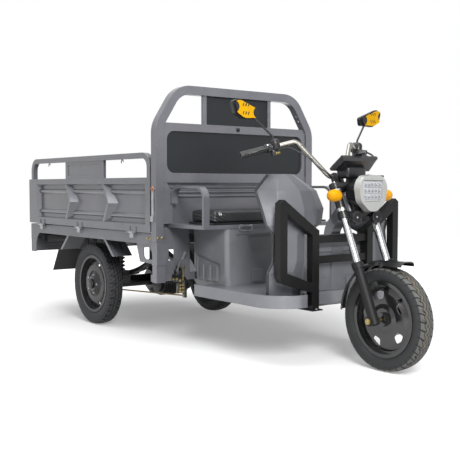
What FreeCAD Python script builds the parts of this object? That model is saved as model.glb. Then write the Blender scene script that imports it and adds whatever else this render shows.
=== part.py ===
import FreeCAD, Part
import math
import os

# Electric cargo tricycle with a drop-side bed, one solid per physical piece.
# Millimetres, X forward, Y to the rider's left, Z up, ground at Z = 0.
# The modelling frame has the rear axle over X = 0; write() moves it to the middle.

V = FreeCAD.Vector

# Wheels and stance
WHEELBASE = 1930.0
TRACK = 860.0
REAR_R = 243.0
REAR_W = 88.0
FRONT_R = 234.0
FRONT_W = 88.0
RIM_R = 160.0

# Cargo bed
BED_FRONT = 786.0
BED_LENGTH = 1500.0
BED_HALF = 540.0
BED_Z = 580.0
PANEL_T = 38.0
PANEL_H = 285.0
RAIL_H = 131.0
RAIL_W = 30.0
PLATE_REAR = 252.0
PLATE_FRONT = 236.0
STAKE_LEAN = 96.0

# Headboard and seat
POST = 46.0
HEADBOARD_TOP = 1354.0
SEAT_Z = 634.0
SEAT_DEPTH = 295.0
SEAT_HALF = 450.0
BOX_HALF = 305.0

# Chassis, floor and front end
RAIL_HALF = 190.0
FLOOR_Z = 322.0
PAN_HALF = 415.0
PAN_LIP = 10.0
GUARD = 40.0
RAKE = 22.8
FORK_HALF = 98.0
FORK_OFFSET = 45.0
AXLE_DROP = 640.0
FORK_TUBE_R = 17.0
BAR_R = 11.0

# Suspension
LEAF_Y = 265.0
LEAF_SPAN = 400.0
DAMPER_Y = 330.0
DAMPER_X = 95.0
DRIVE_X = 176.0
REAR_GUARD_X = -210.0
FRONT_GUARD_X = 250.0
COIL_R = 27.0
WIRE_R = 4.2
COIL_TURNS = 7

# Fits
FIT = 0.05
GAP = 0.5
STAKE_OUT = 16.0
SILL_INSET = 10.0
WALL = 2.5
SHEET = 4.0

BED_REAR = BED_FRONT - BED_LENGTH
BED_MID = (BED_FRONT + BED_REAR) / 2
PANEL_Z = BED_Z + 9
PANEL_TOP = PANEL_Z + PANEL_H
RAIL_TOP = PANEL_TOP + RAIL_H
HB_REAR = BED_FRONT + 13
HB_FRONT = HB_REAR + POST
SHELF_FRONT = HB_FRONT + SEAT_DEPTH
SHIELD_X = WHEELBASE - 330
BEARER_Z = BED_Z - 55
PAD_Z = REAR_R + 42
EYE_Z = BEARER_Z - 95
CUP_LOW = REAR_R + 78
CUP_HIGH = BEARER_Z - 34
SKIRT_Z = BEARER_Z - 128
BACK_Z0 = PANEL_TOP + 9
BACK_Z1 = BACK_Z0 + 254
HINGE_R = 7.0
PIN_R = 4.0
HINGE_Y = BED_HALF + 5
HINGE_Z = PANEL_Z - 6
GATE_X = BED_REAR - 2 - PANEL_T
GATE_HINGE_X = GATE_X - 5
REAR_MOST = GATE_X - STAKE_OUT
MID_X = (WHEELBASE + FRONT_R + REAR_MOST) / 2

SIN = math.sin(math.radians(RAKE))
COS = math.cos(math.radians(RAKE))
AXLE_LX = FORK_OFFSET - 9
HEAD = V(WHEELBASE - AXLE_LX * COS - AXLE_DROP * SIN, 0, FRONT_R - AXLE_LX * SIN + AXLE_DROP * COS)
BAR_1 = HEAD + V(-47, -48, 62)
BAR_2 = HEAD + V(-137, -178, 230)
BAR_3 = HEAD + V(-251, -416, 162)
ALONG = (BAR_3 - BAR_2).normalize()
UPWARD = (V(0, 0, 1) - ALONG * ALONG.z).normalize()
AHEAD = UPWARD.cross(ALONG)
GRIP_END = (BAR_3 - BAR_2).Length
POD_START = 95.0
POD_END = 150.0
PIVOT = BAR_2 + ALONG * (POD_END - 8) + AHEAD * 36
MIRROR_FOOT = BAR_2 + ALONG * 118 + V(0, 0, 18)

SEAT_HINGE = V(HB_FRONT + 62, 0, SEAT_Z + 7)
BRAKE_PIVOT = V(HB_FRONT + 28, -PAN_HALF - 16, FLOOR_Z + 60)
PEDAL_PIVOT = V(SHIELD_X - 110, -RAIL_HALF + 60, FLOOR_Z - 30)
LATCH_PIVOT = V((HB_REAR + HB_FRONT) / 2, -BED_HALF, PANEL_TOP - 60)


def box(x0, x1, y0, y1, z0, z1):
    return Part.makeBox(x1 - x0, y1 - y0, z1 - z0, V(x0, y0, z0))


def rod(a, b, radius):
    return Part.makeCylinder(radius, (b - a).Length, a, b - a)


def ring(a, b, outer, inner):
    return rod(a, b, outer).cut(rod(a, b, inner))


def polygon(points):
    return Part.makePolygon(points + points[:1])


def slab_xz(outline, y0, y1):
    return Part.Face(polygon([V(x, y0, z) for x, z in outline])).extrude(V(0, y1 - y0, 0))


def slab_yz(outline, x0, x1):
    return Part.Face(polygon([V(x0, y, z) for y, z in outline])).extrude(V(x1 - x0, 0, 0))


def slab_xy(outline, z0, z1):
    return Part.Face(polygon([V(x, y, z0) for x, y in outline])).extrude(V(0, 0, z1 - z0))


def mirrored(shape):
    return shape.mirror(V(0, 0, 0), V(0, 1, 0))


def pair(shape):
    return [shape, mirrored(shape)]


def fused(shapes):
    whole = shapes[0].fuse(shapes[1:])
    return whole.removeSplitter()


def arc_mid(start, corner, end):
    """Middle of the arc that leaves start for the corner and reaches end, equal tangents."""
    chord = (start + end) * 0.5
    reach = (corner - start).Length
    half = math.acos(min(1.0, (end - start).Length / 2 / reach))
    radius = reach / math.tan(half)
    return corner + (chord - corner).normalize() * (radius / math.cos(half) - radius)


def rounded(points, radius, closed=False):
    """Wire along straight lines whose corners become tangent arcs; radius may be a list, one per point."""
    count = len(points)
    radii = radius if isinstance(radius, list) else [radius] * count
    cut = []
    for i, p in enumerate(points):
        if not closed and i in (0, count - 1):
            cut.append((p, None, p))
            continue
        a = (points[i - 1] - p).normalize()
        b = (points[(i + 1) % count] - p).normalize()
        reach = radii[i] / math.tan(a.getAngle(b) / 2)
        cut.append((p + a * reach, p, p + b * reach))
    edges = []
    for i, (start, corner, end) in enumerate(cut):
        if corner is not None:
            edges.append(Part.Arc(start, arc_mid(start, corner, end), end).toShape())
        if i + 1 < count or closed:
            after = cut[(i + 1) % count][0]
            if (after - end).Length > 1e-6:
                edges.append(Part.LineSegment(end, after).toShape())
    return Part.Wire(edges)


def plate(points, radius, direction):
    return Part.Face(rounded(points, radius, True)).extrude(direction)


def square_tube(points, radius, across, width, depth, wall=0.0):
    """Rectangular tube along a rounded path; width lies along the vector across."""
    path = rounded(points, radius)
    side = V(across).normalize()
    other = (points[1] - points[0]).normalize().cross(side)
    sizes = [(width, depth)]
    if wall:
        sizes.append((width - 2 * wall, depth - 2 * wall))
    solids = []
    for w, d in sizes:
        corners = [(-w, -d), (w, -d), (w, d), (-w, d)]
        section = polygon([points[0] + side * (i / 2) + other * (j / 2) for i, j in corners])
        solids.append(path.makePipeShell([section], True, False))
    return solids[0].cut(solids[1]) if wall else solids[0]


def round_bar(points, bend, radius, inner=0.0):
    path = rounded(points, bend)
    start = points[1] - points[0]
    solids = []
    for r in ([radius, inner] if inner else [radius]):
        section = Part.Wire(Part.makeCircle(r, points[0], start))
        solids.append(path.makePipeShell([section], True, False))
    return solids[0].cut(solids[1]) if inner else solids[0]


def spun(outline, centre):
    """Ring about the wheel axis through centre; outline is (offset along Y, radius)."""
    face = Part.Face(polygon([V(0, y, r) for y, r in outline]))
    return face.revolve(V(0, 0, 0), V(0, 1, 0), 360).translated(centre)


def in_fork(shape):
    """Placed from the fork's own frame: z up the steering axis, x ahead of it."""
    placed = shape.copy()
    placed.Placement = FreeCAD.Placement(HEAD, FreeCAD.Rotation(V(0, 1, 0), -RAKE))
    return placed


# Wheels
def tyre(radius, width, lugs, slant, groove, depth):
    w = width
    rise = radius - RIM_R
    wire = []

    def line(a, b):
        wire.append(Part.LineSegment(V(0, *a), V(0, *b)).toShape())

    def arc(a, m, b):
        wire.append(Part.Arc(V(0, *a), V(0, *m), V(0, *b)).toShape())

    def crowned(a, top, b):
        curve = Part.BezierCurve()
        curve.setPoles([V(0, *a), V(0, 0, 2 * top - a[1]), V(0, *b)])
        wire.append(curve.toShape())

    foot, lip = (-0.33 * w, RIM_R), (-0.35 * w, RIM_R + 13)
    belly, edge, tread = (-0.5 * w, RIM_R + 0.5 * rise), (-0.455 * w, radius - 14), (-0.42 * w, radius - 5)
    inner_foot = (-0.27 * w, RIM_R)
    inner_belly = (-0.42 * w, RIM_R + 0.5 * rise)
    crown = (-0.37 * w, radius - 15)
    line(foot, lip)
    arc(lip, belly, edge)
    line(edge, tread)
    crowned(tread, radius, (-tread[0], tread[1]))
    line((-tread[0], tread[1]), (-edge[0], edge[1]))
    arc((-edge[0], edge[1]), (-belly[0], belly[1]), (-lip[0], lip[1]))
    line((-lip[0], lip[1]), (-foot[0], foot[1]))
    line((-foot[0], foot[1]), (-inner_foot[0], inner_foot[1]))
    arc((-inner_foot[0], inner_foot[1]), (-inner_belly[0], inner_belly[1]), (-crown[0], crown[1]))
    crowned((-crown[0], crown[1]), radius - 11, crown)
    arc(crown, inner_belly, inner_foot)
    line(inner_foot, foot)
    body = Part.Face(Part.Wire(wire)).revolve(V(0, 0, 0), V(0, 1, 0), 360)
    cutters = []
    for side in (-1, 1):
        for i in range(lugs):
            slot = box(-groove / 2, groove / 2, 0.17 * w, 0.52 * w, radius - depth, radius + 4)
            slot.rotate(V(0, 0.3 * w, 0), V(0, 0, 1), slant)
            if side < 0:
                slot = slot.mirror(V(0, 0, 0), V(0, 1, 0))
            slot.rotate(V(0, 0, 0), V(0, 1, 0), 360.0 / lugs * (i + (side + 1) / 4))
            cutters.append(slot)
        bands = [(side * 0.1 * w, radius - 5), (side * 0.14 * w, radius - 5)]
        bands += [(side * 0.14 * w, radius + 4), (side * 0.1 * w, radius + 4)]
        cutters.append(spun(bands, V(0, 0, 0)))
    return body.cut(Part.makeCompound(cutters))


def rim_shell(width):
    w = width
    outline = [(-0.40 * w, RIM_R + 12), (-0.36 * w, RIM_R + 12), (-0.36 * w, RIM_R), (0.36 * w, RIM_R)]
    outline += [(0.36 * w, RIM_R + 12), (0.40 * w, RIM_R + 12)]
    outline += [(0.40 * w, RIM_R - 5), (-0.40 * w, RIM_R - 5)]
    return spun(outline, V(0, 0, 0))


def rear_wheel_rim():
    """Pressed disc wheel for the right side, outer face towards -Y."""
    disc = [(-6, RIM_R - 4), (-6, RIM_R - 14), (-20, 112), (-22, 78), (-30, 66), (-42, 44), (-42, 0)]
    disc += [(-36, 0), (-36, 40), (-25, 60), (-16, 76), (-14, 114), (0, RIM_R - 12), (0, RIM_R - 4)]
    hub = rod(V(0, -37, 0), V(0, 20, 0), 36)
    drum = rod(V(0, 14, 0), V(0, 43, 0), 92)
    web = rod(V(0, -16, 0), V(0, 15, 0), 60)
    whole = fused([rim_shell(REAR_W), spun(disc, V(0, 0, 0)), hub, drum, web])
    cutters = [rod(V(0, -34, 0), V(0, 50, 0), 17 + FIT)]
    for i in range(8):
        angle = math.radians(45 * i + 22.5)
        at = V(126 * math.sin(angle), 0, 126 * math.cos(angle))
        cutters.append(rod(at + V(0, -40, 0), at + V(0, 12, 0), 11))
    return whole.cut(Part.makeCompound(cutters))


def front_wheel_rim():
    disc = [(-14, RIM_R - 4), (-14, RIM_R - 16), (-24, 118), (-24, 70), (-30, 50), (-30, 20)]
    disc += [(-18, 20), (-18, 64), (-17, 120), (-8, RIM_R - 12), (-8, RIM_R - 4)]
    hub = rod(V(0, -46, 0), V(0, 56, 0), 32)
    drum = rod(V(0, 12, 0), V(0, 46, 0), 78)
    boss = rod(V(0, -20, 0), V(0, 14, 0), 60)
    whole = fused([rim_shell(FRONT_W), spun(disc, V(0, 0, 0)), hub, boss, drum])
    cutters = [rod(V(0, -60, 0), V(0, 60, 0), 8 + FIT)]
    for i in range(5):
        corners = [V(-16, -60, 92), V(16, -60, 92), V(30, -60, 122), V(0, -60, 130), V(-30, -60, 122)]
        window = plate(corners, 10, V(0, 70, 0))
        window.rotate(V(0, 0, 0), V(0, 1, 0), 72 * i - 13)
        cutters.append(window)
    return whole.cut(Part.makeCompound(cutters))


# Rear suspension and axle
def axle_housing():
    z = REAR_R
    half = TRACK / 2
    swell = [(-70, 0), (-70, 60), (-45, 88), (45, 88), (70, 60), (70, 0)]
    case = [(-55, z - 55), (20, z - 60), (DRIVE_X + 20, z - 52), (DRIVE_X + 54, z), (DRIVE_X + 20, z + 52)]
    case += [(20, z + 60), (-55, z + 55)]
    pieces = [rod(V(0, -half + 50, z), V(0, half - 50, z), 36), spun(swell, V(0, 0, z))]
    pieces.append(slab_xz(case, 71, 108))
    pieces.append(rod(V(0, 60, z), V(0, 110, z), 60))
    for side in (-1, 1):
        pieces.append(rod(V(0, side * (half - 58), z), V(0, side * (half - 44 - GAP), z), 96))
        pieces.append(rod(V(0, side * (half - 60), z), V(0, side * (half + 33), z), 17))
        y0, y1 = sorted((side * (LEAF_Y - 32), side * (LEAF_Y + 32)))
        pieces.append(box(-55, 55, y0, y1, z - 10, PAD_Z))
        y0, y1 = sorted((side * (DAMPER_Y - 24), side * (DAMPER_Y + 24)))
        pieces.append(box(-10, DAMPER_X + 26, y0, y1, z + 14, z + 32))
    pieces.append(box(78, 96, -half + 50, -half + 63.5, z - 40, z + 10))
    return fused(pieces)


def drive_motor():
    z = REAR_R
    body = rod(V(DRIVE_X, -112, z), V(DRIVE_X, 71, z), 74)
    fins = [ring(V(DRIVE_X, y, z), V(DRIVE_X, y + 5, z), 80, 70) for y in range(-96, 60, 14)]
    cover = rod(V(DRIVE_X, -122, z), V(DRIVE_X, -112, z), 58)
    return fused([body, cover] + fins)


def leaf_spring():
    """Four-leaf pack with rolled eyes, curving up to its ends."""
    top = PAD_Z + 0.3 + 28
    radius = (LEAF_SPAN ** 2 + (EYE_Z - top) ** 2) / (2 * (EYE_Z - top))
    centre = top + radius
    leaves = []
    for i, share in enumerate((1.0, 0.84, 0.62, 0.40)):
        angle = math.asin(LEAF_SPAN / radius) * share
        outer, inner = radius + 7 * (i + 1), radius + 7 * i

        def at(r, a):
            return V(r * math.sin(a), -LEAF_Y - 25, centre - r * math.cos(a))

        edges = [Part.Arc(at(inner, -angle), at(inner, 0), at(inner, angle)).toShape()]
        edges.append(Part.LineSegment(at(inner, angle), at(outer, angle)).toShape())
        edges.append(Part.Arc(at(outer, angle), at(outer, 0), at(outer, -angle)).toShape())
        edges.append(Part.LineSegment(at(outer, -angle), at(inner, -angle)).toShape())
        leaves.append(Part.Face(Part.Wire(edges)).extrude(V(0, 50, 0)))
    ends = [V(s * LEAF_SPAN, -LEAF_Y, EYE_Z) for s in (-1, 1)]
    eyes = [rod(end - V(0, 25, 0), end + V(0, 25, 0), 16) for end in ends]
    bores = [rod(end - V(0, 30, 0), end + V(0, 30, 0), 8) for end in ends]
    return fused(leaves + eyes).cut(Part.makeCompound(bores))


def spring_hanger():
    """Hangers of the right leaf spring with their pins, and the damper's top bracket."""
    pieces = []
    for s in (-1, 1):
        x = s * LEAF_SPAN
        for y in (-LEAF_Y - 32, -LEAF_Y + 26):
            pieces.append(box(x - 20, x + 20, y, y + 6, EYE_Z - 20, BEARER_Z))
        pieces.append(box(x - 20, x + 20, -LEAF_Y - 32, -LEAF_Y + 32, BEARER_Z - 6, BEARER_Z))
        pieces.append(rod(V(x, -LEAF_Y - 38, EYE_Z), V(x, -LEAF_Y + 38, EYE_Z), 8 - FIT))
    hangers = [fused(pieces[:4]), fused(pieces[4:])]
    arm = box(DAMPER_X - 28, DAMPER_X + 28, -DAMPER_Y - 30, -RAIL_HALF - 20, BEARER_Z - 22, BEARER_Z - 2)
    return hangers + [arm]


def biarc(p0, t0, p1, t1):
    """Two tangent arcs from p0 along t0 to p1 along t1."""
    v = p1 - p0
    a = 2 * (1 - t0.dot(t1))
    b = 2 * v.dot(t0 + t1)
    reach = (-b + math.sqrt(b * b + 4 * a * v.dot(v))) / (2 * a)
    q0 = p0 + t0 * reach
    q1 = p1 - t1 * reach
    joint = (q0 + q1) * 0.5
    first = Part.Arc(p0, arc_mid(p0, q0, joint), joint).toShape()
    return [first, Part.Arc(joint, arc_mid(joint, q1, p1), p1).toShape()]


def coil_spring():
    """One unbroken wire between the damper's two cups."""
    low, high = CUP_LOW + WIRE_R + 0.4, CUP_HIGH - WIRE_R - 0.4
    pitch = (high - low) / COIL_TURNS
    centre = V(DAMPER_X, -DAMPER_Y, low)

    def at(turn):
        angle = 2 * math.pi * turn
        return centre + V(COIL_R * math.cos(angle), COIL_R * math.sin(angle), pitch * turn)

    def heading(turn):
        angle = 2 * math.pi * turn
        rise = pitch / (2 * math.pi)
        return V(-COIL_R * math.sin(angle), COIL_R * math.cos(angle), rise).normalize()

    edges = []
    for i in range(2 * COIL_TURNS):
        edges += biarc(at(i / 2), heading(i / 2), at(i / 2 + 0.5), heading(i / 2 + 0.5))
    path = Part.Wire(edges)
    points = [p for e in edges for p in e.discretize(9)]
    turn = 9 * 4
    least = min((points[i] - points[j]).Length for i in range(len(points))
                for j in range(i + turn // 2, min(i + 2 * turn, len(points))))
    print("least gap of the coil to itself: %.2f mm" % (least - 2 * WIRE_R))
    section = Part.Wire(Part.makeCircle(WIRE_R, at(0), heading(0)))
    return path.makePipeShell([section], True, False)


def damper_upper():
    foot = V(DAMPER_X, -DAMPER_Y, 0)
    top = BEARER_Z - 22
    stem = rod(foot + V(0, 0, CUP_LOW + 60), foot + V(0, 0, CUP_HIGH + 4), 8)
    cup = rod(foot + V(0, 0, CUP_HIGH), foot + V(0, 0, CUP_HIGH + 5), COIL_R + 7)
    return fused([stem, cup, rod(foot + V(0, 0, CUP_HIGH + 4), foot + V(0, 0, top), 13)])


def damper_lower():
    foot = V(DAMPER_X, -DAMPER_Y, 0)
    seat = REAR_R + 32
    tube = rod(foot + V(0, 0, seat), foot + V(0, 0, CUP_LOW + 92), 19)
    cup = rod(foot + V(0, 0, CUP_LOW - 5), foot + V(0, 0, CUP_LOW), COIL_R + 7)
    bore = rod(foot + V(0, 0, CUP_LOW + 8), foot + V(0, 0, CUP_LOW + 100), 8 + FIT)
    return fused([tube, cup]).cut(bore)


# Chassis and bed
def chassis_frame():
    pieces = []
    low, high = FLOOR_Z - 37, BEARER_Z - 27
    kick_rear, kick_front = BED_FRONT - 246, BED_FRONT + 4
    path = [(BED_REAR + 20, high), (kick_rear, high), (kick_front, low), (SHIELD_X - 40, low)]
    for side in (-1, 1):
        points = [V(x, side * RAIL_HALF, z) for x, z in path]
        pieces.append(square_tube(points, 90, (0, 1, 0), 40, 60, 3))
        y0, y1 = sorted((side * (BED_HALF - 60), side * (BED_HALF - 5)))
        leg = box(HB_REAR + 1, HB_FRONT - 4, y0, y1, FLOOR_Z + 6, BEARER_Z + 14)
        y2, y3 = sorted((side * (BED_HALF - 77), side * (BED_HALF - 3)))
        low_face = polygon([V(x, y, FLOOR_Z + 98) for x, y in
                            ((HB_REAR + 1, y0), (HB_FRONT, y0), (HB_FRONT, y1), (HB_REAR + 1, y1))])
        high_face = polygon([V(x, y, BEARER_Z + 14) for x, y in
                             ((HB_REAR - 3, y2), (HB_FRONT + 5, y2), (HB_FRONT + 5, y3), (HB_REAR - 3, y3))])
        pieces += [leg, Part.makeLoft([low_face, high_face], True, True)]
        y4, y5 = sorted((side * (BED_HALF - 30), side * (BED_HALF - 25)))
        gusset = slab_xz([(BED_FRONT - 175, BEARER_Z), (HB_REAR + 2, BEARER_Z),
                          (HB_REAR + 2, BEARER_Z - 104),
                          (BED_FRONT - 145, BEARER_Z - 99), (BED_FRONT - 175, BEARER_Z - 21)], y4, y5)
        window = [(-110, -21), (-106, -69), (-88, -82), (-4, -79), (-4, -56), (-51, -17)]
        corners = [V(BED_FRONT + x, y4 - 1, BEARER_Z + z) for x, z in window]
        pieces.append(gusset.cut(plate(corners, 7, V(0, 7, 0))))
        y6, y7 = sorted((side * (BOX_HALF + 8), side * (BED_HALF - 58)))
        wall = box(HB_REAR + 13, HB_REAR + 18, y6, y7, FLOOR_Z + 40, SEAT_Z - 21)
        y8, y9 = sorted((side * 413, side * 446))
        pieces.append(wall.cut(box(HB_REAR + 12, HB_REAR + 19, y8, y9, FLOOR_Z + 118, FLOOR_Z + 176)))
    for x in (BED_REAR + 60, -LEAF_SPAN, LEAF_SPAN, BED_FRONT - 60):
        pieces.append(box(x - 20, x + 20, -BED_HALF + 40, BED_HALF - 40, BEARER_Z, BED_Z - 5))
    post_x = BED_FRONT - 60
    post_z = high - (post_x - kick_rear) * (high - low) / (kick_front - kick_rear)
    for y in (-RAIL_HALF, RAIL_HALF):
        pieces.append(box(post_x - 18, post_x + 18, y - 18, y + 18, post_z, BEARER_Z + 1))
    pieces.append(box(HB_REAR - 22, HB_REAR + 18, -BED_HALF + 10, BED_HALF - 10, FLOOR_Z + 10, FLOOR_Z + 46))
    for y in (-RAIL_HALF, RAIL_HALF):
        pieces.append(box(HB_REAR - 22, HB_REAR + 18, y - 20, y + 20, low - 20, FLOOR_Z + 12))
    pieces.append(box(SHIELD_X - 52, SHIELD_X - 12, -RAIL_HALF - 45, RAIL_HALF + 45, FLOOR_Z - 62, low + 28))
    pieces.append(box(HB_FRONT + 150, HB_FRONT + 190, -PAN_HALF + 30, PAN_HALF - 30, low - 20, low + 28))
    tube_mid = HEAD + V(75 * SIN, 0, -75 * COS)
    spine = [tube_mid, V(SHIELD_X - 28, 0, tube_mid.z - 118), V(SHIELD_X - 28, 0, low)]
    pieces.append(square_tube(spine, 90, (0, 1, 0), 60, 50))
    pieces.append(in_fork(rod(V(0, 0, -130), V(0, 0, -18), 28)))
    bore = in_fork(rod(V(0, 0, -140), V(0, 0, -8), 14 + FIT))
    return fused(pieces).cut(bore)


def bed_floor():
    deck = box(BED_REAR + 1, BED_FRONT + 12, -BED_HALF + 40.3, BED_HALF - 40.3, BED_Z - 5, BED_Z)
    spans = [(BED_REAR + 90, -LEAF_SPAN - 25), (-LEAF_SPAN + 25, LEAF_SPAN - 25)]
    spans.append((LEAF_SPAN + 25, BED_FRONT - 90))
    ribs = []
    for x0, x1 in spans:
        for y in (-330, -110, 110, 330):
            section = [(y - 9, BED_Z - 5), (y + 9, BED_Z - 5), (y + 6, BED_Z - 12), (y - 6, BED_Z - 12)]
            ribs.append(slab_yz(section, x0, x1))
    return fused([deck] + ribs)


def bed_sills():
    """Side and rear sills with the rear skirt below them, welded into one frame."""
    z0, z1 = BEARER_Z, HINGE_Z - 1
    outer = BED_HALF - SILL_INSET
    back = GATE_X + SILL_INSET
    pieces = []
    for side in (-1, 1):
        y0, y1 = sorted((side * outer, side * (BED_HALF - 40)))
        channel = box(back, BED_FRONT + 9, y0, y1, z0, z1)
        y2, y3 = sorted((side * (outer - 4), side * (BED_HALF - 41)))
        hollow = box(back + 4, BED_FRONT + 20, y2, y3, z0 + 4, z1 - 4)
        pieces.append(channel.cut(hollow))
    pieces.append(box(back, back + 5, -outer, outer, z0, z1))
    pieces.append(box(back, BED_REAR, -outer, outer, z1 - 4, z1))
    pieces.append(box(back, back + 3, -outer, outer, SKIRT_Z, z0 + 1))
    for side in (-1, 1):
        y0, y1 = sorted((side * outer, side * (outer - 3)))
        cheek = [(back, SKIRT_Z), (back + 72, SKIRT_Z), (back + 80, SKIRT_Z + 60)]
        cheek += [(back + 100, SKIRT_Z + 104), (back + 130, z0 + 1), (back, z0 + 1)]
        pieces.append(slab_xz(cheek, y0, y1))
    return fused(pieces)


def side_hinges():
    return [BED_MID - 587, BED_MID - 59, BED_MID + 566]


def gate_hinges():
    return [-BED_HALF + 130, BED_HALF - 130]


def hinge_barrels():
    """Fixed knuckles on the sills; the moving leaves carry the pins."""
    solids = []
    for x in side_hinges():
        for side in (-1, 1):
            y = side * HINGE_Y
            barrel = rod(V(x - 18, y, HINGE_Z), V(x + 18, y, HINGE_Z), HINGE_R)
            y0, y1 = sorted((y, side * (BED_HALF - SILL_INSET)))
            tab = box(x - 18, x + 18, y0, y1, HINGE_Z - 30, HINGE_Z)
            bore = rod(V(x - 19, y, HINGE_Z), V(x + 19, y, HINGE_Z), PIN_R + FIT)
            solids.append(fused([barrel, tab]).cut(bore))
    for y in gate_hinges():
        barrel = rod(V(GATE_HINGE_X, y - 18, HINGE_Z), V(GATE_HINGE_X, y + 18, HINGE_Z), HINGE_R)
        tab = box(GATE_HINGE_X, GATE_X + SILL_INSET, y - 18, y + 18, HINGE_Z - 30, HINGE_Z - 1)
        bore = rod(V(GATE_HINGE_X, y - 19, HINGE_Z), V(GATE_HINGE_X, y + 19, HINGE_Z), PIN_R + FIT)
        solids.append(fused([barrel, tab]).cut(bore))
    return solids


def pressed_panel(length, beads):
    """Panel lying along X from 0, outer face at Y = 0, field set in between four borders."""
    t = PANEL_T
    field_y = t - 12
    frame = box(0, length, 0, t, PANEL_Z, PANEL_TOP)
    rear, front, low, high = 90, 48, 39, 33
    outline = [(rear, PANEL_Z + low), (length - front, PANEL_Z + low), (length - front, PANEL_TOP - high)]
    outline.append((rear, PANEL_TOP - high))
    mouth = polygon([V(x, -1, z) for x, z in outline])
    inset = 14
    x0, x1 = rear + inset, length - front - inset / 3
    z0, z1 = PANEL_Z + low + inset / 2, PANEL_TOP - high - inset / 2
    floor = polygon([V(x, field_y, z) for x, z in ((x0, z0), (x1, z0), (x1, z1), (x0, z1))])
    frame = frame.cut(Part.makeLoft([mouth, floor], True, True))
    back = box(30, length - 30, field_y + 4, t + 1, PANEL_Z + 24, PANEL_TOP - 24)
    pieces = [frame.cut(back)]
    for z in beads:
        pieces.append(rod(V(rear, field_y + 2, z), V(length - front, field_y + 2, z), 14))
    whole = fused(pieces)
    return whole.common(box(-1, length + 1, -1, t, PANEL_Z - 1, PANEL_TOP + 1))


def stake(x, lean):
    """Pressed ridge that stands out most at half height, where it leans forward."""
    base = PANEL_T - 11
    low, high = PANEL_Z + 28, PANEL_TOP - 24
    mid = (low + high) / 2
    sections = []
    for z, out, shift in ((low, 4, 0), (mid, -STAKE_OUT, lean), (high, 4, 0)):
        corners = [V(x - 56 + shift, base, z), V(x - 12 + shift, out, z)]
        corners += [V(x + 6 + shift, out, z), V(x + 46 + shift, base, z)]
        sections.append(polygon(corners))
    return Part.makeLoft(sections, True, True)


def side_panel():
    """Right drop side: pressed panel, rail hoop with centre plate, and hinge leaves with pins."""
    top = RAIL_TOP - RAIL_W / 2
    inset = 19
    middle = BED_LENGTH / 2
    panel = pressed_panel(BED_LENGTH, (PANEL_Z + 81, PANEL_Z + 208))
    across = (0, 1, 0)
    y = RAIL_W / 2 + 2
    hoop = [V(inset, y, PANEL_TOP - 20), V(inset, y, top), V(BED_LENGTH - inset, y, top)]
    hoop.append(V(BED_LENGTH - inset, y, PANEL_TOP - 20))
    pieces = [panel, square_tube(hoop, 62, across, RAIL_W, RAIL_W)]
    for x in (middle - 245, middle + 234):
        pieces.append(stake(x, STAKE_LEAN))
    filler = box(middle - PLATE_REAR, middle + PLATE_FRONT, y - 8, y + 8, PANEL_TOP - 2, top - 2)
    field = box(middle - PLATE_REAR + 30, middle + PLATE_FRONT - 30, y - 9, y - 4, PANEL_TOP + 18, top - 32)
    pieces.append(filler.cut(field))
    pin_y, pin_z = BED_HALF - HINGE_Y, HINGE_Z
    for hinge in side_hinges():
        x = hinge - BED_REAR
        pieces.append(rod(V(x - 42, pin_y, pin_z), V(x + 42, pin_y, pin_z), PIN_R))
        for a, b in ((-42, -18.4), (18.4, 42)):
            pieces.append(rod(V(x + a, pin_y, pin_z), V(x + b, pin_y, pin_z), HINGE_R))
            pieces.append(box(x + a, x + b, pin_y, 1, pin_z, PANEL_Z + 26))
    return fused(pieces).translated(V(BED_REAR, -BED_HALF, 0))


def tailgate():
    length = 2 * BED_HALF - 8
    panel = pressed_panel(length, (PANEL_Z + 81, PANEL_Z + 208))
    pieces = [panel, stake(length / 2, 0)]
    pin_y, pin_z = GATE_HINGE_X - GATE_X, HINGE_Z
    for hinge in gate_hinges():
        x = hinge + length / 2
        pieces.append(rod(V(x - 42, pin_y, pin_z), V(x + 42, pin_y, pin_z), PIN_R))
        for a, b in ((-42, -18.4), (18.4, 42)):
            pieces.append(rod(V(x + a, pin_y, pin_z), V(x + b, pin_y, pin_z), HINGE_R))
            pieces.append(box(x + a, x + b, pin_y, 1, pin_z, PANEL_Z + 26))
    gate = fused(pieces).translated(V(-length / 2, 0, 0))
    gate.rotate(V(0, 0, 0), V(0, 0, 1), -90)
    return gate.translated(V(GATE_X, 0, 0))


def latch_lever():
    y0 = -BED_HALF - GAP
    at = LATCH_PIVOT
    arm = box(at.x - 9, at.x + 9, y0 - 7, y0, at.z - 150, at.z)
    eye = rod(V(at.x, y0 - 7, at.z), V(at.x, y0, at.z), 14)
    knob = box(at.x - 13, at.x + 13, y0 - 13, y0, at.z - 168, at.z - 140)
    bore = rod(V(at.x, y0 - 20, at.z), V(at.x, y0 + 5, at.z), 5 + FIT)
    return fused([arm, eye, knob]).cut(bore)


def rear_mudguard(sign, foot_x):
    """Inclined ribbed plate of the right side; sign is +1 ahead of the wheel and -1 behind it."""
    x0, x1 = foot_x, foot_x + sign * 98
    z0, z1 = BEARER_Z, BEARER_Z - 92
    y0, y1 = -BED_HALF + 22, -BED_HALF + 146
    sheet = slab_xz([(x0, z0), (x0 + sign * 6, z0), (x1 + sign * 6, z1), (x1, z1)], y0, y1)
    outline = [(x0 - sign * 8, z0), (x0 + sign * 18, z0), (x1 + sign * 18, z1), (x1 - sign * 8, z1)]
    lip = slab_xz(outline, y0, y0 + 5)
    ribs = []
    for y in (-BED_HALF + 46, -BED_HALF + 76, -BED_HALF + 106):
        ribs.append(slab_xz([(x0, z0), (x0 + sign * 13, z0), (x1 + sign * 13, z1), (x1, z1)], y, y + 18))
    return fused([sheet, lip] + ribs)


def mud_flap():
    x, z = REAR_GUARD_X - 98, BEARER_Z - 92
    outline = [(x - 6, z - GAP), (x, z - GAP), (x - 84, z - 136), (x - 90, z - 136)]
    return slab_xz(outline, -BED_HALF + 2, -BED_HALF + 180)


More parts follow.
